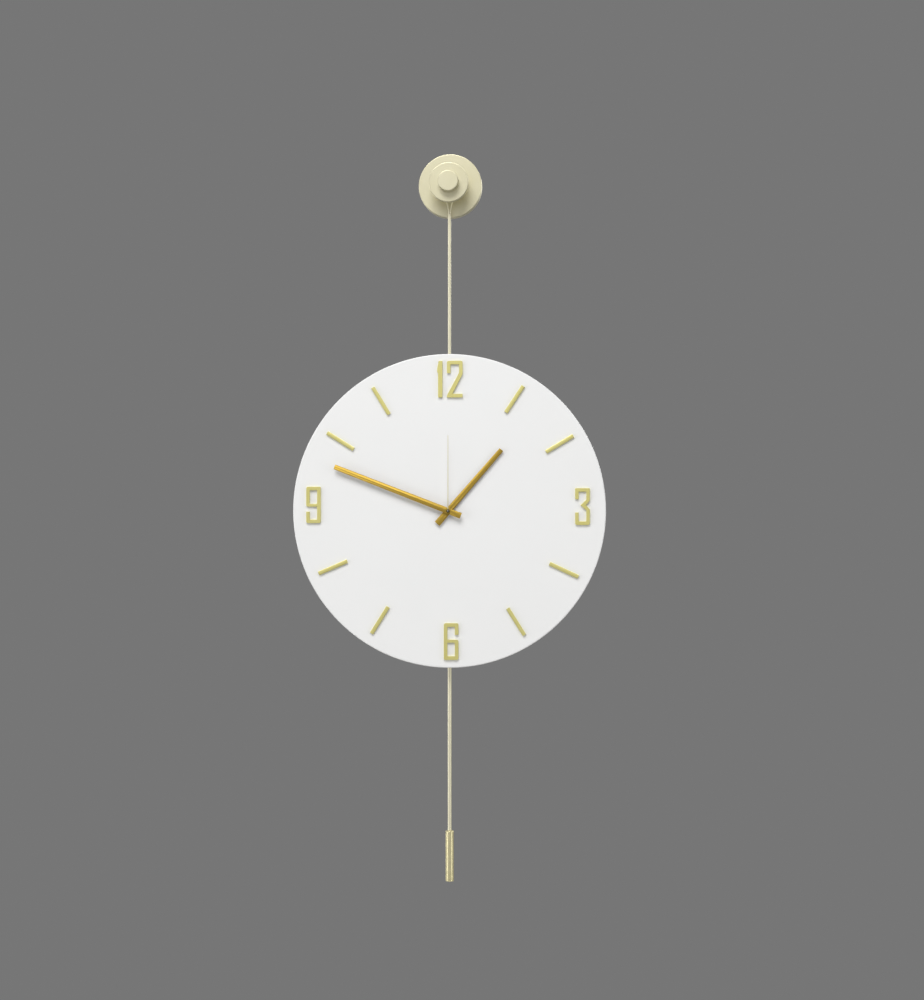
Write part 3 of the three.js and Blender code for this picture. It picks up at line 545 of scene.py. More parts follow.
def turned(
    outline: Sequence[Point], axis: Axis = Axis.OUT, at: Place = (0, 0, 0), sides: int = 96
) -> bmesh.types.BMesh:
    """Turns an outline round an axis, into a closed solid.

    Args:
        outline: Points as radius and distance along the axis, from the axis and back to it, or a
            closed ring that stays clear of it.
        axis: Which way the axis points.
        at: A point that the axis passes through, where the distance along it is zero.
        sides: How many flats the round has.

    Returns:
        The solid.
    """
    solid = bmesh.new()
    rings = []
    for radius, along in outline:
        count = sides if radius > TINY else 1
        angles = (2 * math.pi * i / count for i in range(count))
        rings.append([
            solid.verts.new((radius * math.cos(a), radius * math.sin(a), along)) for a in angles
        ])
    pairs = list(zip(rings, rings[1:]))
    if outline[0][0] > TINY:
        pairs.append((rings[-1], rings[0]))
    for low, high in pairs:
        for i in range(sides):
            j = (i + 1) % sides
            corners = (low[i % len(low)], low[j % len(low)], high[j % len(high)],
                high[i % len(high)])
            face = tuple(dict.fromkeys(corners))
            if len(face) > 2:
                solid.faces.new(face)
    outward(solid)
    bmesh.ops.transform(solid, matrix=Matrix.Translation(at) @ axis.value, verts=solid.verts)
    return solid


def prism(outlines: Sequence[Sequence[Point]], back: float, front: float) -> bmesh.types.BMesh:
    """Gives flat outlines thickness.

    Args:
        outlines: The outer outline, then any holes.
        back: Where the solid starts, out from the wall.
        front: Where it ends.

    Returns:
        The solid.
    """
    solid = bmesh.new()
    loops = [[solid.verts.new((x, y, back)) for x, y in outline] for outline in outlines]
    if len(loops) == 1:
        solid.faces.new(loops[0])
    else:
        edges = [
            solid.edges.new(pair) for loop in loops for pair in zip(loop, loop[1:] + loop[:1])
        ]
        bmesh.ops.triangle_fill(solid, edges=edges, use_beauty=True)
        bmesh.ops.dissolve_limit(solid, angle_limit=0.01, verts=solid.verts, edges=solid.edges)
    risen = bmesh.ops.extrude_face_region(solid, geom=solid.faces[:])["geom"]
    verts = [part for part in risen if isinstance(part, bmesh.types.BMVert)]
    bmesh.ops.translate(solid, verts=verts, vec=(0, 0, front - back))
    outward(solid)
    return solid


def block(low: Place, high: Place) -> bmesh.types.BMesh:
    """Gives a square-cornered box between two corners."""
    (x0, y0, z0), (x1, y1, z1) = low, high
    return prism([[(x0, y0), (x1, y0), (x1, y1), (x0, y1)]], z0, z1)


def pin(radius: float, back: float, front: float, x: float = 0, y: float = 0, sides: int = 32
        ) -> bmesh.types.BMesh:
    """Gives a round pin that points out from the wall."""
    return turned([(0, back), (radius, back), (radius, front), (0, front)], Axis.OUT, (x, y, 0),
        sides)


def wire(points: Sequence[Place], radius: float, sides: int = 16) -> bmesh.types.BMesh:
    """Runs a round wire through points.

    Args:
        points: The wire's middle line.
        radius: The wire's radius.
        sides: How many flats the wire has.

    Returns:
        The solid, with both ends closed.
    """
    line = [Vector(point) for point in points]
    solid = bmesh.new()
    rings: list[list[bmesh.types.BMVert]] = []
    normal = Vector((0, 0, 1))
    for i, spot in enumerate(line):
        ahead = (line[min(i + 1, len(line) - 1)] - line[max(i - 1, 0)]).normalized()
        if abs(normal.dot(ahead)) > 0.99:
            normal = Vector((1, 0, 0))
        normal = (normal - ahead * normal.dot(ahead)).normalized()
        across = ahead.cross(normal)
        angles = (2 * math.pi * k / sides for k in range(sides))
        rings.append([
            solid.verts.new(spot + (normal * math.cos(a) + across * math.sin(a)) * radius)
            for a in angles
        ])
    for low, high in zip(rings, rings[1:]):
        for k in range(sides):
            j = (k + 1) % sides
            solid.faces.new((low[k], low[j], high[j], high[k]))
    solid.faces.new(rings[0])
    solid.faces.new(rings[-1])
    outward(solid)
    return solid


def smooth_path(knots: Sequence[Place], steps: int = 8) -> list[Place]:
    """Draws a smooth curve through knots.

    Args:
        knots: Points that the curve passes through.
        steps: Pieces between each two knots.

    Returns:
        The curve's points.
    """
    line = [Vector(knot) for knot in knots]
    line = [line[0] * 2 - line[1], *line, line[-1] * 2 - line[-2]]
    path = []
    for a, b, c, d in zip(line, line[1:], line[2:], line[3:]):
        for k in range(steps):
            t = k / steps
            path.append(tuple(0.5 * (
                2 * b + (c - a) * t + (2 * a - 5 * b + 4 * c - d) * t**2
                + (3 * b - a - 3 * c + d) * t**3
            )))
    return [*path, tuple(line[-2])]


def crowned(bottom: float, top: float, widths: Point, back: float, height: float, shoulder: float
            ) -> bmesh.types.BMesh:
    """Gives an upright bar with a low crown along its front.

    Args:
        bottom: Its lower end.
        top: Its upper end.
        widths: From side to side at the lower end and at the upper end.
        back: Where its flat back lies.
        height: From its back to its crown.
        shoulder: How far up its sides are upright, as a share of its height.

    Returns:
        The solid.
    """
    half, edge, steps = widths[0] / 2, height * shoulder, 10
    angles = (math.pi * i / steps for i in range(1, steps))
    crown = [(half * math.cos(a), edge + (height - edge) * math.sin(a) ** 0.8) for a in angles]
    section = [(-half, 0), (half, 0), (half, edge), *crown, (-half, edge)]
    solid = prism([section], -top, -bottom)
    stand = Matrix.Translation((0, 0, back)) @ Matrix.Rotation(math.pi / 2, 4, "X")
    bmesh.ops.transform(solid, matrix=stand, verts=solid.verts)
    for vert in solid.verts:
        share = (vert.co.y - bottom) / (top - bottom)
        vert.co.x *= 1 + share * (widths[1] / widths[0] - 1)
    return solid


def as_object(name: str, solid: bmesh.types.BMesh | bpy.types.Mesh) -> bpy.types.Object:
    """Puts a mesh into the scene as an object.

    Args:
        name: The object's name.
        solid: A mesh, or one that is being built, which is then freed.

    Returns:
        The object.
    """
    if isinstance(solid, bmesh.types.BMesh):
        mesh = bpy.data.meshes.new(name)
        solid.to_mesh(mesh)
        solid.free()
    else:
        mesh = solid
    made = bpy.data.objects.new(name, mesh)
    bpy.context.scene.collection.objects.link(made)
    return made


def settle(made: bpy.types.Object) -> None:
    """Turns an object's modifiers into plain mesh."""
    graph = bpy.context.evaluated_depsgraph_get()
    mesh = bpy.data.meshes.new_from_object(made.evaluated_get(graph), depsgraph=graph)
    made.modifiers.clear()
    made.data = mesh


def joined(
    body: bmesh.types.BMesh, tools: Iterable[bmesh.types.BMesh], how: Joining
) -> bmesh.types.BMesh:
    """Adds solids to a body, or cuts them from it.

    Args:
        body: The solid to change.
        tools: What is added or cut away.
        how: Whether they are added or cut away.

    Returns:
        The new solid.
    """
    made = as_object("joined_body", body)
    helpers = [as_object("joined_tool", tool) for tool in tools]
    for helper in helpers:
        step = made.modifiers.new("join", "BOOLEAN")
        step.operation, step.solver, step.object = how.value, "EXACT", helper
    settle(made)
    result = bmesh.new()
    result.from_mesh(made.data)
    bmesh.ops.remove_doubles(result, verts=result.verts, dist=0.001)
    bmesh.ops.dissolve_limit(result, angle_limit=0.003, verts=result.verts, edges=result.edges)
    for spent in (made, *helpers):
        bpy.data.objects.remove(spent)
    return result


def volume_of(mesh: bpy.types.Mesh) -> tuple[float, int]:
    """Measures a mesh.

    Args:
        mesh: The mesh.

    Returns:
        Its volume, which is negative where its faces point inwards, and its count of open edges.
    """
    solid = bmesh.new()
    solid.from_mesh(mesh)
    found = solid.calc_volume(signed=True), sum(edge.is_boundary for edge in solid.edges)
    solid.free()
    return found


@dataclass
class Build:
    """How a finished solid becomes a piece of the clock."""

    name: str
    body: str
    finish: Finish
    nodes: tuple[str, ...] = ()
    edge: float = 0.0
    crease: float = 35.0
    turn: float = 0.0
    about: Point = (0.0, 0.0)

    def piece(self, solid: bmesh.types.BMesh | bpy.types.Mesh) -> bpy.types.Object:
        """Rounds the edges, sets the shading, dresses the solid and ties it to its body.

        Args:
            solid: The solid, in millimetres on the clock's face.

        Returns:
            The finished piece.
        """
        made = as_object(self.name, solid)
        if self.edge:
            bevel = made.modifiers.new("edges", "BEVEL")
            bevel.width, bevel.segments, bevel.limit_method = self.edge, 3, "ANGLE"
            bevel.angle_limit = math.radians(self.crease)
            settle(made)
        made.data.shade_smooth()
        made.data.set_sharp_from_angle(angle=math.radians(self.crease))
        made.modifiers.new("normals", "WEIGHTED_NORMAL").keep_sharp = True
        settle(made)
        x, y = self.about
        turn = Matrix.Translation((x, y, 0)) @ Matrix.Rotation(-math.radians(self.turn), 4, "Z")
        made.data.transform(FACE @ turn @ Matrix.Translation((-x, -y, 0)))
        made.data.name = self.name
        self.check(made.data)
        made.data.materials.clear()
        made.data.materials.append(self.finish.material())
        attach(made, self.body)
        if self.nodes:
            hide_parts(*self.nodes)
        log.info("%s: %d faces on %s", self.name, len(made.data.polygons), self.body)
        return made


    def check(self, mesh: bpy.types.Mesh) -> None:
        """Stops the script where a join has lost a solid, which a closed scrap would hide.

        Args:
            mesh: The finished mesh, in metres.

        Raises:
            ValueError: The faces point inwards, or the volume is far from that of the frame nodes
                that the piece stands for.
        """
        volume, open_edges = volume_of(mesh)
        if volume <= 0:
            raise ValueError(f"{self.name}: its faces point inwards or it is empty")
        if open_edges:
            log.warning("%s: %d open edges", self.name, open_edges)
        if self.nodes:
            ratio = volume / sum(volume_of(bpy.data.objects[node].data)[0] for node in self.nodes)
            if not LEAST_SHARE < ratio < 1 / LEAST_SHARE:
                raise ValueError(f"{self.name}: {ratio:.2f} of its frame nodes' volume")


def dress(finish: Finish, nodes: dict[str, bpy.types.Object], *names: str) -> None:
    """Gives frame nodes a finish.

    Args:
        finish: The finish.
        nodes: The frame's nodes.
        names: Which of them are dressed.
    """
    for name in names:
        for place in nodes[name].material_slots:
            place.material = finish.material()
        log.info("%s: dressed in %s", name, finish.name)


# ---- Repeated pieces -----------------------------------------------------------------------------


@dataclass
class Repeat:
    """A Geometry Nodes tree that sets copies of one piece in a row or round a ring."""

    name: str
    settings: dict[str, tuple[str, object]] = field(default_factory=dict)

    def tree(self) -> bpy.types.NodeTree:
        """Starts the tree, with one named input for each setting.

        Returns:
            The tree.
        """
        tree = bpy.data.node_groups.new(self.name, "GeometryNodeTree")
        tree.interface.new_socket("Geometry", in_out="OUTPUT", socket_type="NodeSocketGeometry")
        for label, (kind, _) in self.settings.items():
            tree.interface.new_socket(label, in_out="INPUT", socket_type=kind)
        return tree

    def close(self, tree: bpy.types.NodeTree, source: bpy.types.Node, points: Value, spin: Value
              ) -> None:
        """Ends the tree: copies on points, made real and given their material.

        Args:
            tree: The tree.
            source: Its Group Input node.
            points: Where the copies go.
            spin: How each one is turned.
        """
        copied = add(tree, "GeometryNodeObjectInfo", inputs={"Object": source.outputs["Piece"]})
        copies = add(tree, "GeometryNodeInstanceOnPoints", inputs={
            "Points": points, "Instance": copied.outputs["Geometry"], "Rotation": spin,
        })
        real = add(tree, "GeometryNodeRealizeInstances", inputs={
            "Geometry": copies.outputs["Instances"],
        })
        finished = add(tree, "GeometryNodeSetMaterial", inputs={
            "Geometry": real.outputs["Geometry"], "Material": source.outputs["Material"],
        })
        add(tree, "NodeGroupOutput", inputs={"Geometry": finished.outputs["Geometry"]})

    def mesh(self, tree: bpy.types.NodeTree) -> bpy.types.Mesh:
        """Runs the tree with its settings.

        Args:
            tree: The finished tree.

        Returns:
            The result as a plain mesh.
        """
        made = as_object(self.name, bpy.data.meshes.new(self.name))
        modifier = made.modifiers.new(self.name, "NODES")
        modifier.node_group = tree
        for item in tree.interface.items_tree:
            if item.in_out == "INPUT":
                modifier[item.identifier] = self.settings[item.name][1]
        settle(made)
        mesh = made.data
        bpy.data.objects.remove(made)
        for kind, value in self.settings.values():
            if kind == "NodeSocketObject":
                bpy.data.objects.remove(value)
        return mesh


def in_ring(name: str, solid: bmesh.types.BMesh, finish: Finish, at: Place, count: int
            ) -> bpy.types.Mesh:
    """Repeats a piece round a ring on the clock's face, the first at 12 o'clock.

    Args:
        name: The tree's name.
        solid: The piece, upright, as it stands at 12 o'clock round the origin.
        finish: Its finish.
        at: The ring's middle.
        count: How many there are.

    Returns:
        All the copies as one mesh.
    """
    repeat = Repeat(name, {
        "Piece": ("NodeSocketObject", as_object(name + "_source", solid)),
        "Middle": ("NodeSocketVector", at),
        "Count": ("NodeSocketInt", count),
        "Material": ("NodeSocketMaterial", finish.material()),
    })
    tree = repeat.tree()
    source = add(tree, "NodeGroupInput")
    points = add(tree, "GeometryNodeMeshLine", inputs={
        "Count": source.outputs["Count"], "Start Location": source.outputs["Middle"],
        "Offset": (0, 0, 0),
    })
    index = add(tree, "GeometryNodeInputIndex").outputs["Index"]
    share = add(tree, "ShaderNodeMath", {"operation": "DIVIDE"}, {
        0: index, 1: source.outputs["Count"],
    })
    angle = add(tree, "ShaderNodeMath", {"operation": "MULTIPLY"}, {
        0: share.outputs[0], 1: -2 * math.pi,
    })
    spin = add(tree, "ShaderNodeCombineXYZ", inputs={"Z": angle.outputs[0]})
    repeat.close(tree, source, points.outputs["Mesh"], spin.outputs[0])
    return repeat.mesh(tree)


def on_marks(name: str, solid: bmesh.types.BMesh, finish: Finish,
             marks: Sequence[tuple[float, float, float]]) -> bpy.types.Mesh:
    """Repeats a piece on marked places across the clock's face.

    Args:
        name: The tree's name.
        solid: The piece, upright, round the origin.
        finish: Its finish.
        marks: Each place, from left to right and up, and the way the piece points there, in degrees
            clockwise from 12.

    Returns:
        All the copies as one mesh.
    """
    guide = bpy.data.meshes.new(name + "_guide")
    guide.from_pydata([(x, y, 0) for x, y, _ in marks], [], [])
    lean = guide.attributes.new("lean", "FLOAT", "POINT")
    lean.data.foreach_set("value", [-math.radians(angle) for _, _, angle in marks])
    repeat = Repeat(name, {
        "Piece": ("NodeSocketObject", as_object(name + "_source", solid)),
        "Guide": ("NodeSocketObject", as_object(name + "_guide", guide)),
        "Material": ("NodeSocketMaterial", finish.material()),
    })
    tree = repeat.tree()
    source = add(tree, "NodeGroupInput")
    points = add(tree, "GeometryNodeObjectInfo", inputs={"Object": source.outputs["Guide"]})
    angle = add(tree, "GeometryNodeInputNamedAttribute", {"data_type": "FLOAT"}, {"Name": "lean"})
    spin = add(tree, "ShaderNodeCombineXYZ", inputs={"Z": angle.outputs["Attribute"]})
    repeat.close(tree, source, points.outputs["Geometry"], spin.outputs[0])
    return repeat.mesh(tree)


def in_row(name: str, solid: bmesh.types.BMesh, finish: Finish, start: Place, step: Place,
           count: int) -> bpy.types.Mesh:
    """Repeats a piece along a row.

    Args:
        name: The tree's name.
        solid: The piece, as it stands at the origin.
        finish: Its finish.
        start: Where the first one goes.
        step: From each one to the next.
        count: How many there are.

    Returns:
        All the copies as one mesh.
    """
    repeat = Repeat(name, {
        "Piece": ("NodeSocketObject", as_object(name + "_source", solid)),
        "Start": ("NodeSocketVector", start),
        "Step": ("NodeSocketVector", step),
        "Count": ("NodeSocketInt", count),
        "Material": ("NodeSocketMaterial", finish.material()),
    })
    tree = repeat.tree()
    source = add(tree, "NodeGroupInput")
    points = add(tree, "GeometryNodeMeshLine", inputs={
        "Count": source.outputs["Count"], "Start Location": source.outputs["Start"],
        "Offset": source.outputs["Step"],
    })
    repeat.close(tree, source, points.outputs["Mesh"], (0.0, 0.0, 0.0))
    return repeat.mesh(tree)


# ---- Wall knob -----------------------------------------------------------------------------------


@dataclass
class WallKnob:
    """The plate on the wall, its cup, the post, the disc that keeps the eye on, and the cap."""

    edge: float = 0.7  # rounding of the turned pieces' front edges
    hole: float = 2.25  # wall screw holes in the plate
    hole_offset: float = 14.5
    web: float = 2.0  # thickness of the cup's front
    shell: float = 1.6  # thickness of its side

    def build(self) -> None:
        """Builds every piece of the knob."""
        self.plate()
        self.cup()
        self.grub()
        self.post()
        self.disc()
        self.cap()

    def plate(self) -> None:
        """Builds the wall plate, with its rim, its threaded boss and two countersunk holes."""
        span = Extent.of("wall_plate")
        radius, boss = span.radius, span.front
        rim, thick = 6.5, 2.5
        outline = rounded([
            (0, 0), (radius, 0, 0.4), (radius, rim, 0.4), (radius - 2.5, rim, 0.4),
            (radius - 2.5, thick, 0.8), (7, thick, 0.8), (7, boss, 0.4), (3.3, boss, 0.4), (3.3, 2),
            (0, 2),
        ], closed=False)
        sunk = [(0, -1), (self.hole, -1), (self.hole, 1.0), (4.1, thick + 0.05), (4.1, 4), (0, 4)]
        holes = [
            turned(sunk, Axis.OUT, (side * self.hole_offset, 0, 0), 48) for side in (-1, 1)
        ]
        solid = joined(turned(outline), holes, Joining.CUT)
        Build("wall_plate_turned", "wall_knob", PASSIVATED_ZINC, ("wall_plate",)).piece(solid)

    def cup(self) -> None:
        """Builds the flange cup, with the hole for its grub screw."""
        span, grub = Extent.of("flange_cup"), Extent.of("flange_grub_screw")
        radius, back, front = span.radius, span.back, span.front
        inner, bore = radius - self.shell, Extent.of("hanger_post").radius + 0.3
        outline = rounded([
            (inner, back), (radius, back, 0.3), (radius, front, self.edge), (bore, front, 0.3),
            (bore, front - self.web), (inner, front - self.web, 0.6),
        ])
        reach = [(0, -4), (grub.radius + 0.3, -4), (grub.radius + 0.3, 4), (0, 4)]
        hole = turned(reach, Axis.UP, (0, -radius, grub.z), 32)
        solid = joined(turned(outline, sides=128), [hole], Joining.CUT)
        Build("flange_cup_turned", "wall_knob", TURNED_CHAMPAGNE_PAINTED_DARKER, ("flange_cup",)).piece(solid)

    def grub(self) -> None:
        """Builds the grub screw, with its hexagon socket and cone point."""
        span = Extent.of("flange_grub_screw")
        length = span.top - span.bottom
        body = turned(rounded([
            (0, 0), (span.radius, 0, 0.25), (span.radius, length - 0.8, 0.2), (0.6, length, 0.1),
            (0, length),
        ], closed=False), Axis.UP, (0, span.bottom, span.z), 40)
        socket = turned([(0, -1), (0.8, -1), (0.8, 1.6), (0, 1.9)], Axis.UP,
            (0, span.bottom, span.z), 6)
        solid = joined(body, [socket], Joining.CUT)
        Build("grub_screw", "wall_knob", ROLLED_STEEL, ("flange_grub_screw",)).piece(solid)

    def post(self) -> None:
        """Builds the post that the eye hangs on."""
        span = Extent.of("hanger_post")
        radius, front = span.radius, span.front
        outline = rounded([
            (0, span.back), (3, span.back, 0.4), (3, 7), (radius, 7, 0.3), (radius, front, 0.5),
            (3.3, front, 0.3), (3.3, 13), (0, 13),
        ], closed=False)
        Build("hanger_post_turned", "wall_knob", TURNED_CHAMPAGNE_PAINTED_DARKER, ("hanger_post",)).piece(
            turned(outline, sides=64))

    def disc(self) -> None:
        """Builds the retaining disc, with the stud that screws into the post."""
        span = Extent.of("retaining_disc")
        radius, front, face = span.radius, span.front, 24.3
        outline = rounded([
            (0, span.back), (3, span.back, 0.4), (3, face, 0.3), (radius, face, self.edge),
            (radius, front, self.edge), (2.5, front, 0.3), (2.5, 27.2), (0, 27.2),
        ], closed=False)
        Build("retaining_disc_turned", "knob_front", TURNED_CHAMPAGNE_PAINTED_DARKER, ("retaining_disc",)).piece(
            turned(outline, sides=128))

    def cap(self) -> None:
        """Builds the end cap, with its pin."""
        span = Extent.of("end_cap")
        radius, front, face = span.radius, span.front, 30.6
        outline = rounded([
            (0, span.back), (2.2, span.back, 0.2), (2.2, face, 0.2), (radius, face, 0.5),
            (radius, front, self.edge), (0, front),
        ], closed=False)
        Build("end_cap_turned", "knob_front", TURNED_CHAMPAGNE_PAINTED_DARKER, ("end_cap",)).piece(
            turned(outline, sides=96))


# ---- Hanger --------------------------------------------------------------------------------------


@dataclass
class Hanger:
    """The wire eye over the post, the rod below it, and the bracket on the dial's back."""

    loop: float = 6.0  # radius of the eye's middle line
    apex: float = 28.9  # where its strands would meet, below the post
    wire_radius: float = 0.65
    stem: float = 0.7  # the eye's stem, inside the rod
    screw_head: float = 3.0

    def build(self) -> None:
        """Builds every piece of the hanger."""
        self.eye()
        self.rod()
        self.bracket()
        self.screws()

    def eye(self) -> None:
        """Builds the eye: one wire round the post, both strands held in a swaged collar."""
        span = Extent.of("hanger_eye")
        slant = math.asin(self.loop / self.apex)
        start = (1.5 * math.sin(slant), 1.5 * math.cos(slant) - self.apex)
        sweep = [-slant + (math.pi + 2 * slant) * i / 40 for i in range(41)]
        path = [
            (start[0], start[1], span.z),
            *((self.loop * math.cos(a), self.loop * math.sin(a), span.z) for a in sweep),
            (-start[0], start[1], span.z),
        ]
        collar = turned(rounded([
            (0, span.bottom), (self.stem, span.bottom, 0.2), (self.stem, -28.3),
            (1.5, -28.3, 0.3), (1.5, -26.2, 0.3), (1.0, -25.6, 0.2), (0, -25.6),
        ], closed=False), Axis.UP, (0, 0, span.z), 48)
        solid = joined(wire(path, self.wire_radius), [collar], Joining.UNION)
        Build("hanger_eye_wire", "clock", DRAWN_ROD, ("hanger_eye",), crease=45).piece(solid)

    def rod(self) -> None:
        """Builds the rod, bored at the top for the eye's stem."""
        span = Extent.of("hanger_rod")
        radius, top, bore = span.radius, span.top, self.stem + 0.3
        floor = Extent.of("hanger_eye").bottom - 0.3
        outline = rounded([
            (0, span.bottom), (radius, span.bottom, 0.3), (radius, top, 0.25), (bore, top, 0.1),
            (bore, floor), (0, floor),
        ], closed=False)
        Build("hanger_rod_drawn", "clock", DRAWN_ROD, ("hanger_rod",)).piece(
            turned(outline, Axis.UP, (0, 0, span.z), 48))

    def bracket(self) -> None:
        """Builds the bracket: a plate on the dial's back and a socket that takes the rod's foot."""
        span, rod = Extent.of("hanger_bracket"), Extent.of("hanger_rod")
        plate = 22.2
        base = prism([box_outline(span.left, span.bottom, span.right, span.top, 3)], plate,
            span.front)
        socket = turned_block(-4.2, span.bottom + 1, 4.2, span.top, 1.2, span.back, plate + 0.1)
        bore = [(0, rod.bottom - 0.3), (rod.radius + 0.3, rod.bottom - 0.3),
                (rod.radius + 0.3, span.top + 1), (0, span.top + 1)]
        cuts = [turned(bore, Axis.UP, (0, 0, rod.z), 48)]
        for name in ("bracket_screw_left", "bracket_screw_right"):
            screw = Extent.of(name)
            cuts.append(pin(1.6, 20, 25, screw.x, screw.y))
        solid = joined(joined(base, [socket], Joining.UNION), cuts, Joining.CUT)
        Build("hanger_bracket_machined", "clock", ROLLED_STEEL, ("hanger_bracket",),
            edge=0.35).piece(
            solid)

    def screws(self) -> None:
        """Builds both pairs of pan head screws, one pair in the bracket and one in the movement."""
        for pair in ("bracket_screw", "movement_screw"):
            left, right = Extent.of(pair + "_left"), Extent.of(pair + "_right")
            head = left.back + 1.8
            row = in_row(
                pair + "_row", self.screw(left.back - head, left.front - head), PASSIVATED_ZINC,
                (left.x, left.y, head), (right.x - left.x, 0, 0), 2,
            )
            Build(pair + "s", "clock", PASSIVATED_ZINC,
                (pair + "_left", pair + "_right")).piece(row)

    def screw(self, top: float, tip: float) -> bmesh.types.BMesh:
        """Gives one screw, its head's bearing face at zero.

        Args:
            top: The head's outer face.
            tip: The point.

        Returns:
            The screw, with a crest for each turn of its thread and a cross recess.
        """
        head, core, crest, pitch = self.screw_head, 1.05, 1.3, 0.8
        corners: list[Corner] = [(0, top), (head * 0.62, top, 0.4), (head, top * 0.4, 0.5),
            (head, 0, 0.2),
                                 (crest, 0)]
        along = 0.4
        while along + pitch < tip - 1.2:
            corners += [(core, along), (crest, along + pitch / 2)]
            along += pitch
        corners += [(core, along), (0, tip)]
        body = turned(rounded(corners, closed=False), sides=40)
        depth = top + 1.0
        arm, half = 1.7, 0.33
        quarter = [(arm, -half), (arm, half), (half, half)]
        cross = []
        for _ in range(4):
            cross += quarter
            quarter = [(-y, x) for x, y in quarter]
        return joined(body, [prism([cross], top - 1, depth)], Joining.CUT)


def turned_block(left: float, bottom: float, right: float, top: float, radius: float, back: float,
                 front: float) -> bmesh.types.BMesh:
    """Gives a block that stands out from a plate, its upright corners rounded.

    Args:
        left: Its left side.
        bottom: Its lower side.
        right: Its right side.
        top: Its upper side.
        radius: How far each rounded corner reaches.
        back: Where it starts, out from the wall.
        front: Where it ends.

    Returns:
        The solid.
    """
    return prism([box_outline(left, bottom, right, top, radius)], back, front)


# ---- Dial ----------------------------------------------------------------------------------------


@dataclass
class Dial:
    """The lacquered disc with its raised numerals and hour bars."""

    edge: float = 1.2  # rounding of the disc's rim
    bore: float = 3.1  # hole for the hands' pipes
    stroke: float = 3.4  # width of a numeral's strokes
    half: float = 17.5  # half of a numeral's height
    seat: float = 0.05  # the marks stand this far off the lacquer
    softness: float = 0.45  # rounding of the marks' front edges
    bar_half: float = 15.0  # half of an hour bar's length
    bar_width: float = 3.6
    leans: dict[str, float] = field(default_factory=lambda: {
        "hour_bar_1": 33.5, "hour_bar_2": 59.2, "hour_bar_4": 114.9, "hour_bar_5": 147.9,
        "hour_bar_7": 211.9, "hour_bar_8": 246.8, "hour_bar_10": 301.8, "hour_bar_11": 328.7,
    })  # where each bar points, in degrees clockwise from 12

    def build(self) -> None:
        """Builds the disc, the numerals and the bars."""
        self.disc()
        self.numeral("numeral_12_left", [self.one()])
        self.numeral("numeral_12_right", [self.two()])
        self.numeral("numeral_3", [self.three()])
        nine = self.nine()
        self.numeral("numeral_9", nine)
        self.numeral("numeral_6", [[(-x, -y) for x, y in outline] for outline in nine])
        self.bars()

    def disc(self) -> None:
        """Builds the disc, with its rounded rim and the blind holes in its back."""
        span = Extent.of("dial")
        radius, back, front = span.radius, span.back, span.front
        outline = rounded([
            (self.bore, back), (60, back), (110, back), (radius, back, self.edge),
            (radius, front, self.edge), (110, front), (60, front), (self.bore, front, 0.2),
        ], steps=6)
        holes = []
        for name in ("bracket_screw", "movement_screw"):
            for side in ("_left", "_right"):
                screw = Extent.of(name + side)
                holes.append(pin(1.6, back - 1, screw.front + 0.3, screw.x, screw.y))
        solid = joined(turned(outline, Axis.OUT, (0, span.y, 0), 192), holes, Joining.CUT)
        Build("dial_lacquered", "clock", SPRAYED_LACQUER, ("dial",)).piece(solid)

    def numeral(self, node: str, outlines: Sequence[Sequence[Point]]) -> None:
        """Builds one raised digit.

        Args:
            node: The frame node that it stands for.
            outlines: The digit's outline round its own middle, then any holes.
        """
        span = Extent.of(node)
        middle = sum(side for side in (min(x for x, _ in outlines[0]),
            max(x for x, _ in outlines[0]))) / 2
        x, y = span.x - middle, span.y
        placed = [[(px + x, py + y) for px, py in outline] for outline in outlines]
        solid = prism(placed, Extent.of("dial").front + self.seat, span.front)
        Build(node + "_raised", "clock", SATIN_GOLD, (node,), edge=self.softness).piece(solid)

    def one(self) -> list[Point]:
        """Gives the outline of a 1, with its short flag."""
        top = self.half
        return rounded([
            (2.1, top, 0.8), (2.1, -top, 0.6), (-2.1, -top, 0.6), (-2.1, 5.4, 0.5),
            (-3.0, 7.0, 0.5),
            (-3.0, 9.5, 0.8), (-1.6, top, 1.0),
        ])

    def two(self) -> list[Point]:
        """Gives the outline of a square-shouldered 2."""
        half, top, inner = 7.5, self.half, self.half - self.stroke
        return rounded([
            (-half, 5.7, 0.4), (-half, top, 2), (half, top, 2), (half, 5, 1), (-2.4, -inner, 0.4),
            (half, -inner, 0.4), (half, -top, 0.4), (-half, -top, 0.4), (-half, -top + 1.8, 0.6),
            (half - self.stroke, 6.1, 1), (half - self.stroke, inner, 1),
            (self.stroke - half, inner, 1),
            (self.stroke - half, 5.7, 0.4),
        ])

    def three(self) -> list[Point]:
        """Gives the outline of a 3, with its sharp waist."""
        half, top, inner = 7.0, self.half, self.half - self.stroke
        stem = half - self.stroke
        return rounded([
            (-half, 6.8, 0.4), (-half, top, 0.4), (half, top, 0.8), (half, 5.6, 1), (3.2, 1.3, 0.4),
            (half, -2.6, 1), (half, -top, 2), (-half, -top, 2), (-half, -5.6, 0.4),
            (-stem, -5.6, 0.4),
            (-stem, -inner, 0.8), (stem, -inner, 0.8), (stem, -3.6, 0.4), (-1.9, 1.3, 0.4),
            (stem, 6.4, 0.4), (stem, inner, 0.4), (-stem, inner, 0.4), (-stem, 6.8, 0.4),
        ])

    def nine(self) -> list[list[Point]]:
        """Gives the outlines of a 9: the digit, then the hole in its bowl."""
        half, top, inner = 7.0, self.half, self.half - self.stroke
        stem = half - self.stroke
        digit = rounded([
            (-half, -1.7, 2), (-half, top, 2), (half, top, 1.2), (half, -top, 2), (-half, -top, 2),
            (-half, -6.4, 0.4), (-stem, -6.4, 0.4), (-stem, -inner, 0.8), (stem, -inner, 0.8),
            (stem, -1.7, 0.4),
        ])
        return [digit, box_outline(-stem, 1, stem, inner, 0.6)]

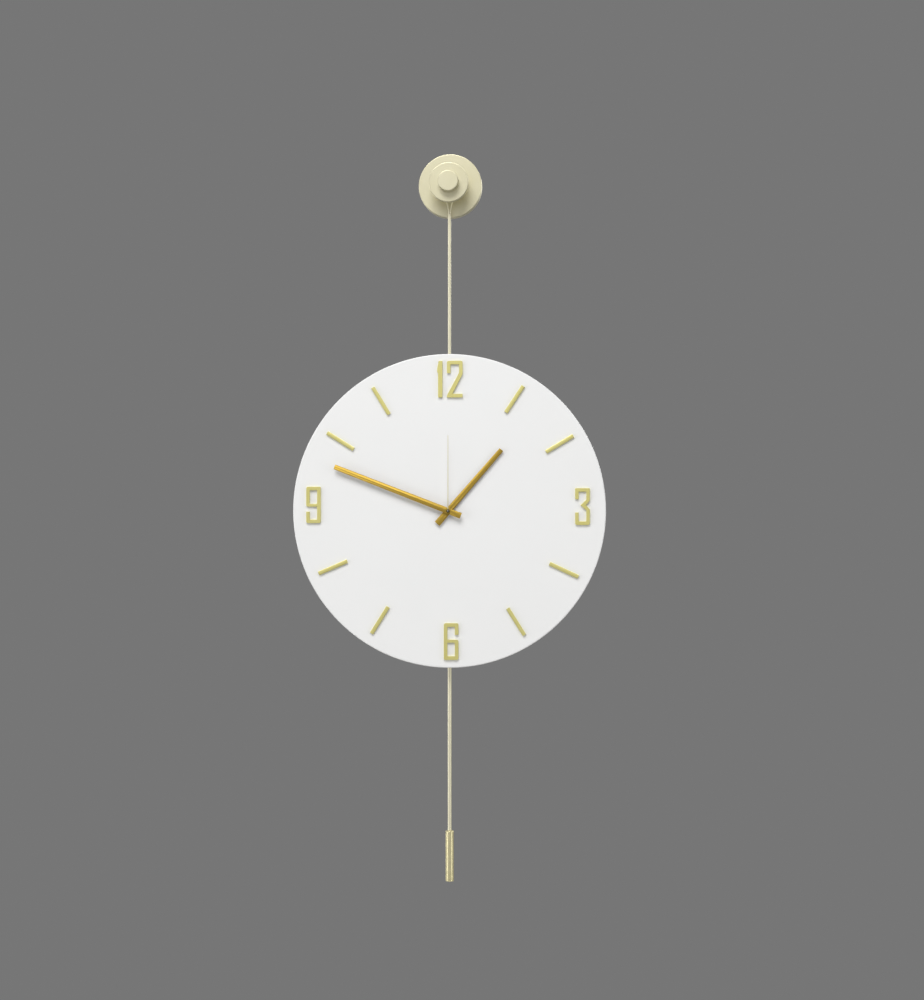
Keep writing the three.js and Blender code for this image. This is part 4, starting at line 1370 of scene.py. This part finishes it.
    def bars(self) -> None:
        """Builds the eight hour bars, each at its own place and lean."""
        disc, bar = Extent.of("dial"), Extent.of("hour_bar_1")
        back = disc.front + self.seat
        widths = (self.bar_width, self.bar_width)
        solid = crowned(-self.bar_half, self.bar_half, widths, back, bar.front - back, 0.8)
        spots = []
        for node, lean in self.leans.items():
            span = Extent.of(node)
            spots.append((span.x, span.y, lean))
        mesh = on_marks("hour_marks", solid, SATIN_GOLD, spots)
        Build("hour_bars", "clock", SATIN_GOLD, tuple(self.leans), edge=0.3, crease=12).piece(mesh)


# ---- Hands ---------------------------------------------------------------------------------------


@dataclass
class Hands:
    """The hour, minute and second hands."""

    hour_angle: float = 41.0
    minute_angle: float = 291.1
    rise: float = 1.2  # from a gold hand's back to its crown

    def build(self) -> None:
        """Builds the three hands."""
        self.bar_hand("hour_hand", "hour_pipe", BRUSHED_BRASS_HOUR, self.hour_angle,
                      (-16.3, 77.3), (6.2, 4.4), 3.1, 2.2)
        self.bar_hand("minute_hand", "minute_arbor", BRUSHED_BRASS_MINUTE, self.minute_angle,
                      (-13, 117), (5.7, 4.8), 2.9, 1.45)
        self.second()

    def bar_hand(self, node: str, body: str, finish: Finish, angle: float, ends: Point,
                 widths: Point, hub: float, bore: float) -> None:
        """Builds a crowned hand with its hub.

        Args:
            node: The frame node that it stands for.
            body: The body that it turns with.
            finish: Its finish.
            angle: Where it points at rest, in degrees clockwise from 12.
            ends: Its tail and its tip, from the middle.
            widths: From side to side at its tail and at its tip.
            hub: The hub's radius.
            bore: The radius of the hole for its pipe.
        """
        span, disc = Extent.of(node), Extent.of("dial")
        back = span.back
        bar = crowned(disc.y + ends[0], disc.y + ends[1], widths, back, self.rise, 0.4)
        boss = pin(hub, back, back + self.rise, 0, disc.y, 48)
        solid = joined(bar, [boss], Joining.UNION)
        solid = joined(solid, [pin(bore, back - 1, back + 3, 0, disc.y, 32)], Joining.CUT)
        Build(node + "_stamped", body, finish, (node,), edge=0.2, crease=32, turn=angle,
              about=(0, disc.y)).piece(solid)

    def second(self) -> None:
        """Builds the second hand: a thin tapered blade on a dark bush."""
        span, disc = Extent.of("second_hand"), Extent.of("dial")
        back, thick, tip = span.back + 0.3, 0.4, span.top - disc.y
        blade = prism([[
            (-0.4, disc.y + 1), (0.4, disc.y + 1), (0.2, disc.y + tip), (-0.2, disc.y + tip),
        ]], back, back + thick)
        Build("second_hand_blade", "second_arbor", ANODISED_PALE, ("second_hand",),
            edge=0.08).piece(
            blade)
        bush = turned(rounded([
            (0.42, span.back), (1.5, span.back, 0.1), (1.5, span.front, 0.35),
            (0.42, span.front, 0.1),
        ]), Axis.OUT, (0, disc.y, 0), 48)
        Build("second_hand_bush", "second_arbor", NEARLY_BLACK_BUSH).piece(bush)


# ---- Movement ------------------------------------------------------------------------------------


@dataclass
class Movement:
    """The quartz movement behind the dial, its battery, and everything inside."""

    nodes: dict[str, bpy.types.Object]
    wall: float = 1.4
    floor: float = 1.2
    ribs: int = 6

    def build(self) -> None:
        """Builds and dresses every piece of the movement."""
        self.case()
        self.marks()
        self.front_plate()
        self.knob()
        self.battery()
        self.inner_parts()

    def case(self) -> None:
        """Builds the back case, with its battery bay, its bearings and the lever's way out."""
        span, disc = Extent.of("movement_back_case"), Extent.of("dial").y
        low, high = (span.left, span.bottom), (span.right, span.top)
        inside = (low[0] + self.wall, low[1] + self.wall, high[0] - self.wall, high[1] - self.wall)
        shell = prism([box_outline(*low, *high, 4)], span.back, span.front)
        room = prism([box_outline(*inside, 2.6)], span.back + self.floor, span.front + 1)
        shell = joined(shell, [room], Joining.CUT)
        x, bottom, top = 27.6, disc - 30.3, disc - 14.7
        bay_wall = block((-x - 0.9, bottom - 0.9, span.back + 0.1),
            (x + 0.9, top + 0.9, span.front - 0.1))
        knob = Extent.of("set_knob")
        collar = turned(
            [(6.9, span.back + 0.4), (6.9, span.back - 0.5), (8.1, span.back - 0.5),
            (8.1, span.back + 0.4)],
            Axis.OUT, (knob.x, knob.y, 0), 64)
        floor = span.back + self.floor
        bosses = []
        for name, bore in (("second_wheel", 0.4), ("third_wheel", 0.5), ("rotor_pinion", 0.6)):
            arbor = Extent.of(name)
            ring = [(bore + 0.3, floor - 0.2), (bore + 1.1, floor - 0.2), (bore + 1.1, floor + 1.2),
                    (bore + 0.3, floor + 1.2)]
            bosses.append(turned(ring, Axis.OUT, (arbor.x, arbor.y, 0), 24))
        pivot = Extent.of("lever_pivot")
        ring = [(1.2, floor - 0.2), (2.3, floor - 0.2), (2.3, 10.5), (1.2, 10.5)]
        bosses.append(turned(ring, Axis.OUT, (pivot.x, pivot.y, 0), 32))
        step, coil, board = (Extent.of(name) for name in ("step_wheel", "drive_coil",
            "circuit_board"))
        bosses.append(pin(0.4, floor - 0.2, 13.6, step.x, step.y, 16))
        bosses.append(pin(2.7, floor - 0.2, coil.front, coil.x, coil.y))
        for y in (board.bottom + 2, board.top - 2):
            bosses.append(pin(1.6, floor - 0.2, board.back - 0.3, board.right - 2.5, y, 16))
        shell = joined(shell, [bay_wall, collar, *bosses], Joining.UNION)
        cuts = [
            block((-x, bottom, span.back - 1), (x, top, span.front + 1)),
            block((-9.5, span.bottom - 1, 13.2), (9.5, span.bottom + 3, 18.8)),
            pin(1.4, span.back - 1, floor + 1, knob.x, knob.y),
        ]
        for side in (-1, 1):
            for y in (disc + 22, disc - 48):
                edge = side * span.right
                cuts.append(block((min(edge, edge - side * 0.6) - 0.01, y - 4, 16),
                                  (max(edge, edge - side * 0.6) + 0.01, y + 4, 18.6)))
        shell = joined(shell, cuts, Joining.CUT)
        Build("movement_case_moulded", "clock", MOULDED_BLACK, ("movement_back_case",),
            edge=0.3).piece(
            shell)

    def marks(self) -> None:
        """Builds what is raised on the case's back: ribs, battery signs, and a turning arrow."""
        span, disc = Extent.of("movement_back_case"), Extent.of("dial").y
        face = span.back
        rib = prism([box_outline(-0.6, disc - 74, 0.6, disc - 37, 0.6)], face - 0.5, face + 0.2)
        row = in_row("case_ribs_row", rib, MOULDED_BLACK, (-22.5, 0, 0), (9, 0, 0), self.ribs)
        Build("case_ribs", "clock", MOULDED_BLACK, edge=0.15).piece(row)
        signs = [
            block((-26.5, disc - 11.4, face - 0.3), (-23.0, disc - 10.6, face + 0.1)),
            block((23.0, disc - 11.4, face - 0.3), (26.5, disc - 10.6, face + 0.1)),
            block((24.35, disc - 12.75, face - 0.3), (25.15, disc - 9.25, face + 0.1)),
        ]
        signs = joined(signs[1], [signs[2], signs[0]], Joining.UNION)
        Build("battery_signs", "clock", MOULDED_BLACK, edge=0.12).piece(signs)
        knob = Extent.of("set_knob")
        sweep = [math.radians(a) for a in range(200, 321, 8)]
        outer = [(knob.x + 10.4 * math.cos(a), knob.y + 10.4 * math.sin(a)) for a in sweep]
        inner = [(knob.x + 9.6 * math.cos(a), knob.y + 9.6 * math.sin(a)) for a in reversed(sweep)]
        last = sweep[-1]
        head = [
            (knob.x + r * math.cos(a), knob.y + r * math.sin(a))
            for r, a in ((11.4, last), (10.0, last + 0.28), (8.7, last))
        ]
        arrow = prism([[*outer, *head, *inner]], face - 0.3, face + 0.1)
        Build("turning_arrow", "clock", MOULDED_BLACK, edge=0.1).piece(arrow)

    def front_plate(self) -> None:
        """Builds the plate that closes the case, with its two ears and the hole for the pipes."""
        span, case = Extent.of("movement_front_plate"), Extent.of("movement_back_case")
        screw = Extent.of("movement_screw_right")
        ear = 4.5
        left, right = (rounded([
            (0, screw.y - ear), (side * (screw.x + ear), screw.y - ear, ear),
            (side * (screw.x + ear), screw.y + ear, ear), (0, screw.y + ear),
        ], steps=10) for side in (-1, 1))
        plate = 21.7
        body = prism([box_outline(case.left, case.bottom, case.right, case.top, 4)], plate,
            span.front)
        body = joined(body, [prism([side], plate, span.front) for side in (left, right)],
            Joining.UNION)
        motion = Extent.of("minute_wheel")
        body = joined(body, [pin(0.4, 17.4, plate + 0.2, motion.x, motion.y, 16)], Joining.UNION)
        dial = Extent.of("dial")
        holes = [pin(2.2, plate - 1, span.front + 1, 0, dial.y)]
        holes += [pin(1.6, plate - 1, span.front + 1, side * screw.x, screw.y) for side in (-1, 1)]
        body = joined(body, holes, Joining.CUT)
        Build("movement_plate_moulded", "clock", MOULDED_BLACK, ("movement_front_plate",), edge=0.25
              ).piece(body)

    def knob(self) -> None:
        """Builds the setting knob: a fluted wheel on a shaft, with a pinion at its inner end."""
        span = Extent.of("set_knob")
        grips, radius, back, front = (
            18, span.radius, span.back, Extent.of("movement_back_case").back - 0.3
        )
        wheel = turned(rounded([
            (0, back + 0.5), (3.4, back + 0.5, 0.3), (3.9, back, 0.3), (radius - 0.35, back, 0.6),
            (radius - 0.35, front, 0.3), (0, front),
        ], closed=False), Axis.OUT, (span.x, span.y, 0), 72)
        rib = prism([circle(0.42, 0, radius - 0.42, 12)], back + 0.5, front - 0.1)
        ring = in_ring("knob_grips_ring", rib, MOULDED_BLACK, (span.x, span.y, 0), grips)
        grips_solid = bmesh.new()
        grips_solid.from_mesh(ring)
        shaft = pin(1.1, front - 0.5, span.front, span.x, span.y)
        pinion = self.pinion(10, 0.54, span.x, span.y, 17.4, 19.2)
        wheel = joined(wheel, [grips_solid, shaft, pinion], Joining.UNION)
        Build("set_knob_fluted", "setting_arbor", MOULDED_BLACK, ("set_knob",), edge=0.08, crease=40
              ).piece(wheel)

    def pinion(self, teeth: int, module: float, x: float, y: float, back: float, front: float
               ) -> bmesh.types.BMesh:
        """Gives a small gear.

        Args:
            teeth: How many teeth it has.
            module: Its pitch diameter over its teeth.
            x: Its middle, from left to right.
            y: Its middle height.
            back: Where it starts, out from the wall.
            front: Where it ends.

        Returns:
            The solid.
        """
        profile = ((-1.2, -0.13), (0.0, -0.18), (0.6, -0.12), (0.85, -0.05), (0.85, 0.05),
            (0.6, 0.12),
                   (0.0, 0.18), (-1.2, 0.13))
        radius = teeth * module / 2
        points = []
        for i in range(teeth):
            for rise, share in profile:
                angle = (i + share) * 2 * math.pi / teeth
                reach = radius + rise * module
                points.append((x + reach * math.cos(angle), y + reach * math.sin(angle)))
        return prism([points], back, front)

    def battery(self) -> None:
        """Builds the battery: a plated can with its button, inside a jacket of printed film."""
        span = Extent.of("battery")
        half, radius = (span.right - span.left) / 2, (span.top - span.bottom) / 2
        middle = (span.x, span.y, span.z)
        can = turned(rounded([
            (0, -half + 0.15), (4.6, -half + 0.15, 0.3), (4.9, -half, 0.2), (6.2, -half, 0.4),
            (radius - 0.2, -half + 0.9, 0.4), (radius - 0.2, half - 2.0, 0.6),
            (6.2, half - 1.3, 0.4),
            (3.2, half - 1.3, 0.3), (2.75, half - 1.0, 0.2), (2.75, half, 0.5), (0, half),
        ], closed=False), Axis.ACROSS, middle, 96)
        Build("battery_can", "cell", NICKEL_PLATE, ("battery",)).piece(can)
        film = turned(rounded([
            (radius - 0.15, -half + 1.1), (6.6, -half + 0.35, 0.2), (6.75, -half + 0.25, 0.2),
            (radius, -half + 0.9, 0.4), (radius, half - 2.0, 0.5), (6.75, half - 1.35, 0.2),
            (6.6, half - 1.45, 0.2), (radius - 0.15, half - 2.2, 0.4),
        ]), Axis.ACROSS, middle, 96)
        Build("battery_film", "cell", SHRUNK_FILM).piece(film)

    def inner_parts(self) -> None:
        """Dresses the frame's own pieces that stay: foam, contacts, gears, motor and circuit."""
        for finish, names in (
            (CLOSED_CELL_FOAM, ("foam_gasket",)),
            (NICKEL_PLATE, ("contact_positive", "contact_negative", "quartz_crystal")),
            (MOULDED_BLACK, ("control_chip",)),
            (PRINTED_BOARD, ("circuit_board",)),
            (WOUND_COPPER, ("motor_coil",)),
            (RING_WOUND_COPPER, ("drive_coil",)),
            (ROLLED_STEEL, ("coil_core", "stator", "lever_pivot")),
            (SINTERED_FERRITE, ("rotor_magnet",)),
            (MOULDED_ACETAL, ("coil_bobbin", "centre_wheel", "hour_wheel", "second_wheel",
                              "minute_wheel", "third_wheel", "step_wheel", "rotor_pinion")),
        ):
            dress(finish, self.nodes, *names)


# ---- Pendulum ------------------------------------------------------------------------------------


@dataclass
class Pendulum:
    """The driven lever, the wire hook, the rod and the slim bob."""

    nodes: dict[str, bpy.types.Object]
    hook_wire: float = 0.55
    tip: float = 1.45  # radius of the rod's end inside the bob

    def build(self) -> None:
        """Builds every piece of the pendulum."""
        self.lever()
        self.hook()
        self.rod()
        self.bob()
        dress(SINTERED_FERRITE, self.nodes, "lever_magnet")

    def lever(self) -> None:
        """Builds the lever: a flat bar with a hub, a magnet ring and an eye at its foot."""
        disc, magnet = Extent.of("dial").y, Extent.of("lever_magnet")
        pivot = Extent.of("lever_pivot").y
        back, front, eye = 14.5, 16.5, disc - 83
        bar = prism([box_outline(-2.5, eye, 2.5, pivot, 0.3)], back, front)
        parts = [
            pin(3.2, back - 1.5, front + 1.5, 0, pivot, 48),
            pin(7, back, front, magnet.x, magnet.y, 64),
            pin(3.2, back, front, 0, eye, 48),
        ]
        cuts = [
            pin(1.2, back - 3, front + 3, 0, pivot),
            pin(5.3, back - 1, front + 1, magnet.x, magnet.y, 64),
            pin(1.5, back - 1, front + 1, 0, eye),
        ]
        solid = joined(joined(bar, parts, Joining.UNION), cuts, Joining.CUT)
        Build("swing_lever_moulded", "pendulum", MOULDED_BLACK, ("swing_lever",),
            edge=0.3).piece(solid)

    def hook(self) -> None:
        """Builds the wire hook that passes through the lever's eye."""
        disc, z = Extent.of("dial").y, Extent.of("pendulum_rod").z
        eye = disc - 83
        path = smooth_path([
            (0, disc - 97, z), (0, disc - 91.5, z), (0, disc - 88.2, z + 1.7),
            (0, disc - 85.2, z + 3.3),
            (0, eye, z + 2.8), (0, eye, z), (0, eye, z - 2.6), (0, disc - 85, z - 3.1),
            (0, disc - 87, z - 2.7),
        ])
        Build("pendulum_hook_wire", "pendulum", ROLLED_STEEL, ("pendulum_hook",), crease=50).piece(
            wire(path, self.hook_wire))

    def rod(self) -> None:
        """Builds the rod, bored at the top for the hook and stepped at its foot for the bob."""
        span, hook, bob = (Extent.of(name) for name in ("pendulum_rod", "pendulum_hook",
            "pendulum_bob"))
        radius, top, bore = span.radius, span.top, self.hook_wire + 0.3
        outline = rounded([
            (0, span.bottom), (self.tip, span.bottom, 0.3), (self.tip, bob.top + 0.3),
            (radius, bob.top + 0.3, 0.2), (radius, top, 0.4), (bore, top, 0.1),
            (bore, hook.bottom - 0.3), (0, hook.bottom - 0.3),
        ], closed=False)
        Build("pendulum_rod_drawn", "pendulum", DRAWN_ROD, ("pendulum_rod",)).piece(
            turned(outline, Axis.UP, (0, 0, span.z), 48))

    def bob(self) -> None:
        """Builds the bob: a slim bar turned from solid, with softly broken edges."""
        span, rod = Extent.of("pendulum_bob"), Extent.of("pendulum_rod")
        radius, bore = span.radius, self.tip + 0.3
        outline = rounded([
            (0, span.bottom), (radius, span.bottom, 0.45), (radius, span.top, 0.45),
            (bore, span.top, 0.2),
            (bore, rod.bottom - 0.3), (0, rod.bottom - 0.3),
        ], closed=False)
        # The bob's plating is painted lighter than the knob's, as painted light.
        Build("pendulum_bob_turned", "pendulum", HOOPED_CHAMPAGNE_PAINTED_LIGHTER, ("pendulum_bob",)).piece(
            turned(outline, Axis.UP, (0, 0, span.z), 72))


# ---- Studio --------------------------------------------------------------------------------------


@dataclass
class Studio:
    """The camera, the floor and the soft lights."""

    eye: Place = (0.125, -1.595, -0.304)
    heading: float = 4.095  # how far the camera turns left of straight at the wall, in degrees
    lens: float = 59.15
    world: float = 0.19

    def build(self) -> None:
        """Sets up the camera, floor, lights and world."""
        self.camera()
        self.floor()
        self.light("key_softbox", (-0.5, -2.2, 2.4), (2.2, 1.8), 110)
        self.light("front_softbox", (0.0, -3.4, 0.3), (2.4, 2.4), 9)
        self.light("left_strip", (-2.6, -1.2, -0.4), (1.1, 2.2), 24)
        self.light("right_strip", (2.6, -1.2, -0.4), (1.1, 2.2), 18)
        self.light("rear_softbox", (1.3, 1.9, 0.9), (1.6, 1.6), 30)
        self.light("rear_fill", (-1.8, 1.5, -0.2), (1.6, 1.6), 14)
        world = bpy.data.worlds.new("studio_air")
        world.use_nodes = True
        background = world.node_tree.nodes["Background"]
        background.inputs["Color"].default_value = linear("#fafafa")
        background.inputs["Strength"].default_value = self.world
        bpy.context.scene.world = world
        bpy.context.scene.view_settings.view_transform = "Standard"

    def camera(self) -> None:
        """Sets the camera level, in front of the clock and a little to its right."""
        data = bpy.data.cameras.new("studio_camera")
        data.lens, data.sensor_width = self.lens, 36.0
        camera = bpy.data.objects.new("studio_camera", data)
        camera.location = self.eye
        camera.rotation_euler = (math.pi / 2, 0, math.radians(self.heading))
        bpy.context.scene.collection.objects.link(camera)
        bpy.context.scene.camera = camera

    def floor(self) -> None:
        """Lays a pale floor well below the pendulum."""
        solid = bmesh.new()
        bmesh.ops.create_grid(solid, x_segments=8, y_segments=8, size=0.8)
        bmesh.ops.translate(solid, verts=solid.verts, vec=(0, 0, -1.25))
        made = as_object("studio_floor", solid)
        material = bpy.data.materials.new("pale_painted_floor")
        material.use_nodes = True
        tree = material.node_tree
        shader = tree.nodes["Principled BSDF"]
        place = add(tree, "ShaderNodeTexCoord").outputs["Object"]
        blotches = add(tree, "ShaderNodeTexNoise", inputs={"Vector": place, "Scale": 6.0})
        colour = add(tree, "ShaderNodeMix", {"data_type": "RGBA"}, {
            "Factor": blotches.outputs["Fac"], MIX_A: linear("#dcdad6"), MIX_B: linear("#e4e2de"),
        })
        tree.links.new(colour.outputs[MIX_COLOUR], shader.inputs["Base Color"])
        shader.inputs["Roughness"].default_value = 0.7
        made.data.materials.append(material)

    def light(self, name: str, at: Place, size: Point, power: float) -> None:
        """Hangs a softbox that faces the middle of the clock.

        Args:
            name: The light's name.
            at: Where it hangs, in metres.
            size: Its width and height, in metres.
            power: Its power, in watts.
        """
        data = bpy.data.lights.new(name, "AREA")
        data.shape, data.energy = "RECTANGLE", power
        data.size, data.size_y = size
        data.color = linear("#fffefc")[:3]
        lamp = bpy.data.objects.new(name, data)
        lamp.location = at
        aim = Vector((0, 0, -0.32)) - Vector(at)
        lamp.rotation_euler = aim.to_track_quat("-Z", "Y").to_euler()
        bpy.context.scene.collection.objects.link(lamp)


def main() -> None:
    """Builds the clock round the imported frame, and sets up the studio."""
    logging.basicConfig(level=logging.INFO, format="%(name)s %(message)s")
    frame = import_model()
    Studio().build()
    for part in (
        WallKnob(), Hanger(), Dial(), Hands(), Movement(frame["nodes"]), Pendulum(frame["nodes"]),
    ):
        log.info("building %s", type(part).__name__)
        part.build()


if __name__ == "__main__":
    main()
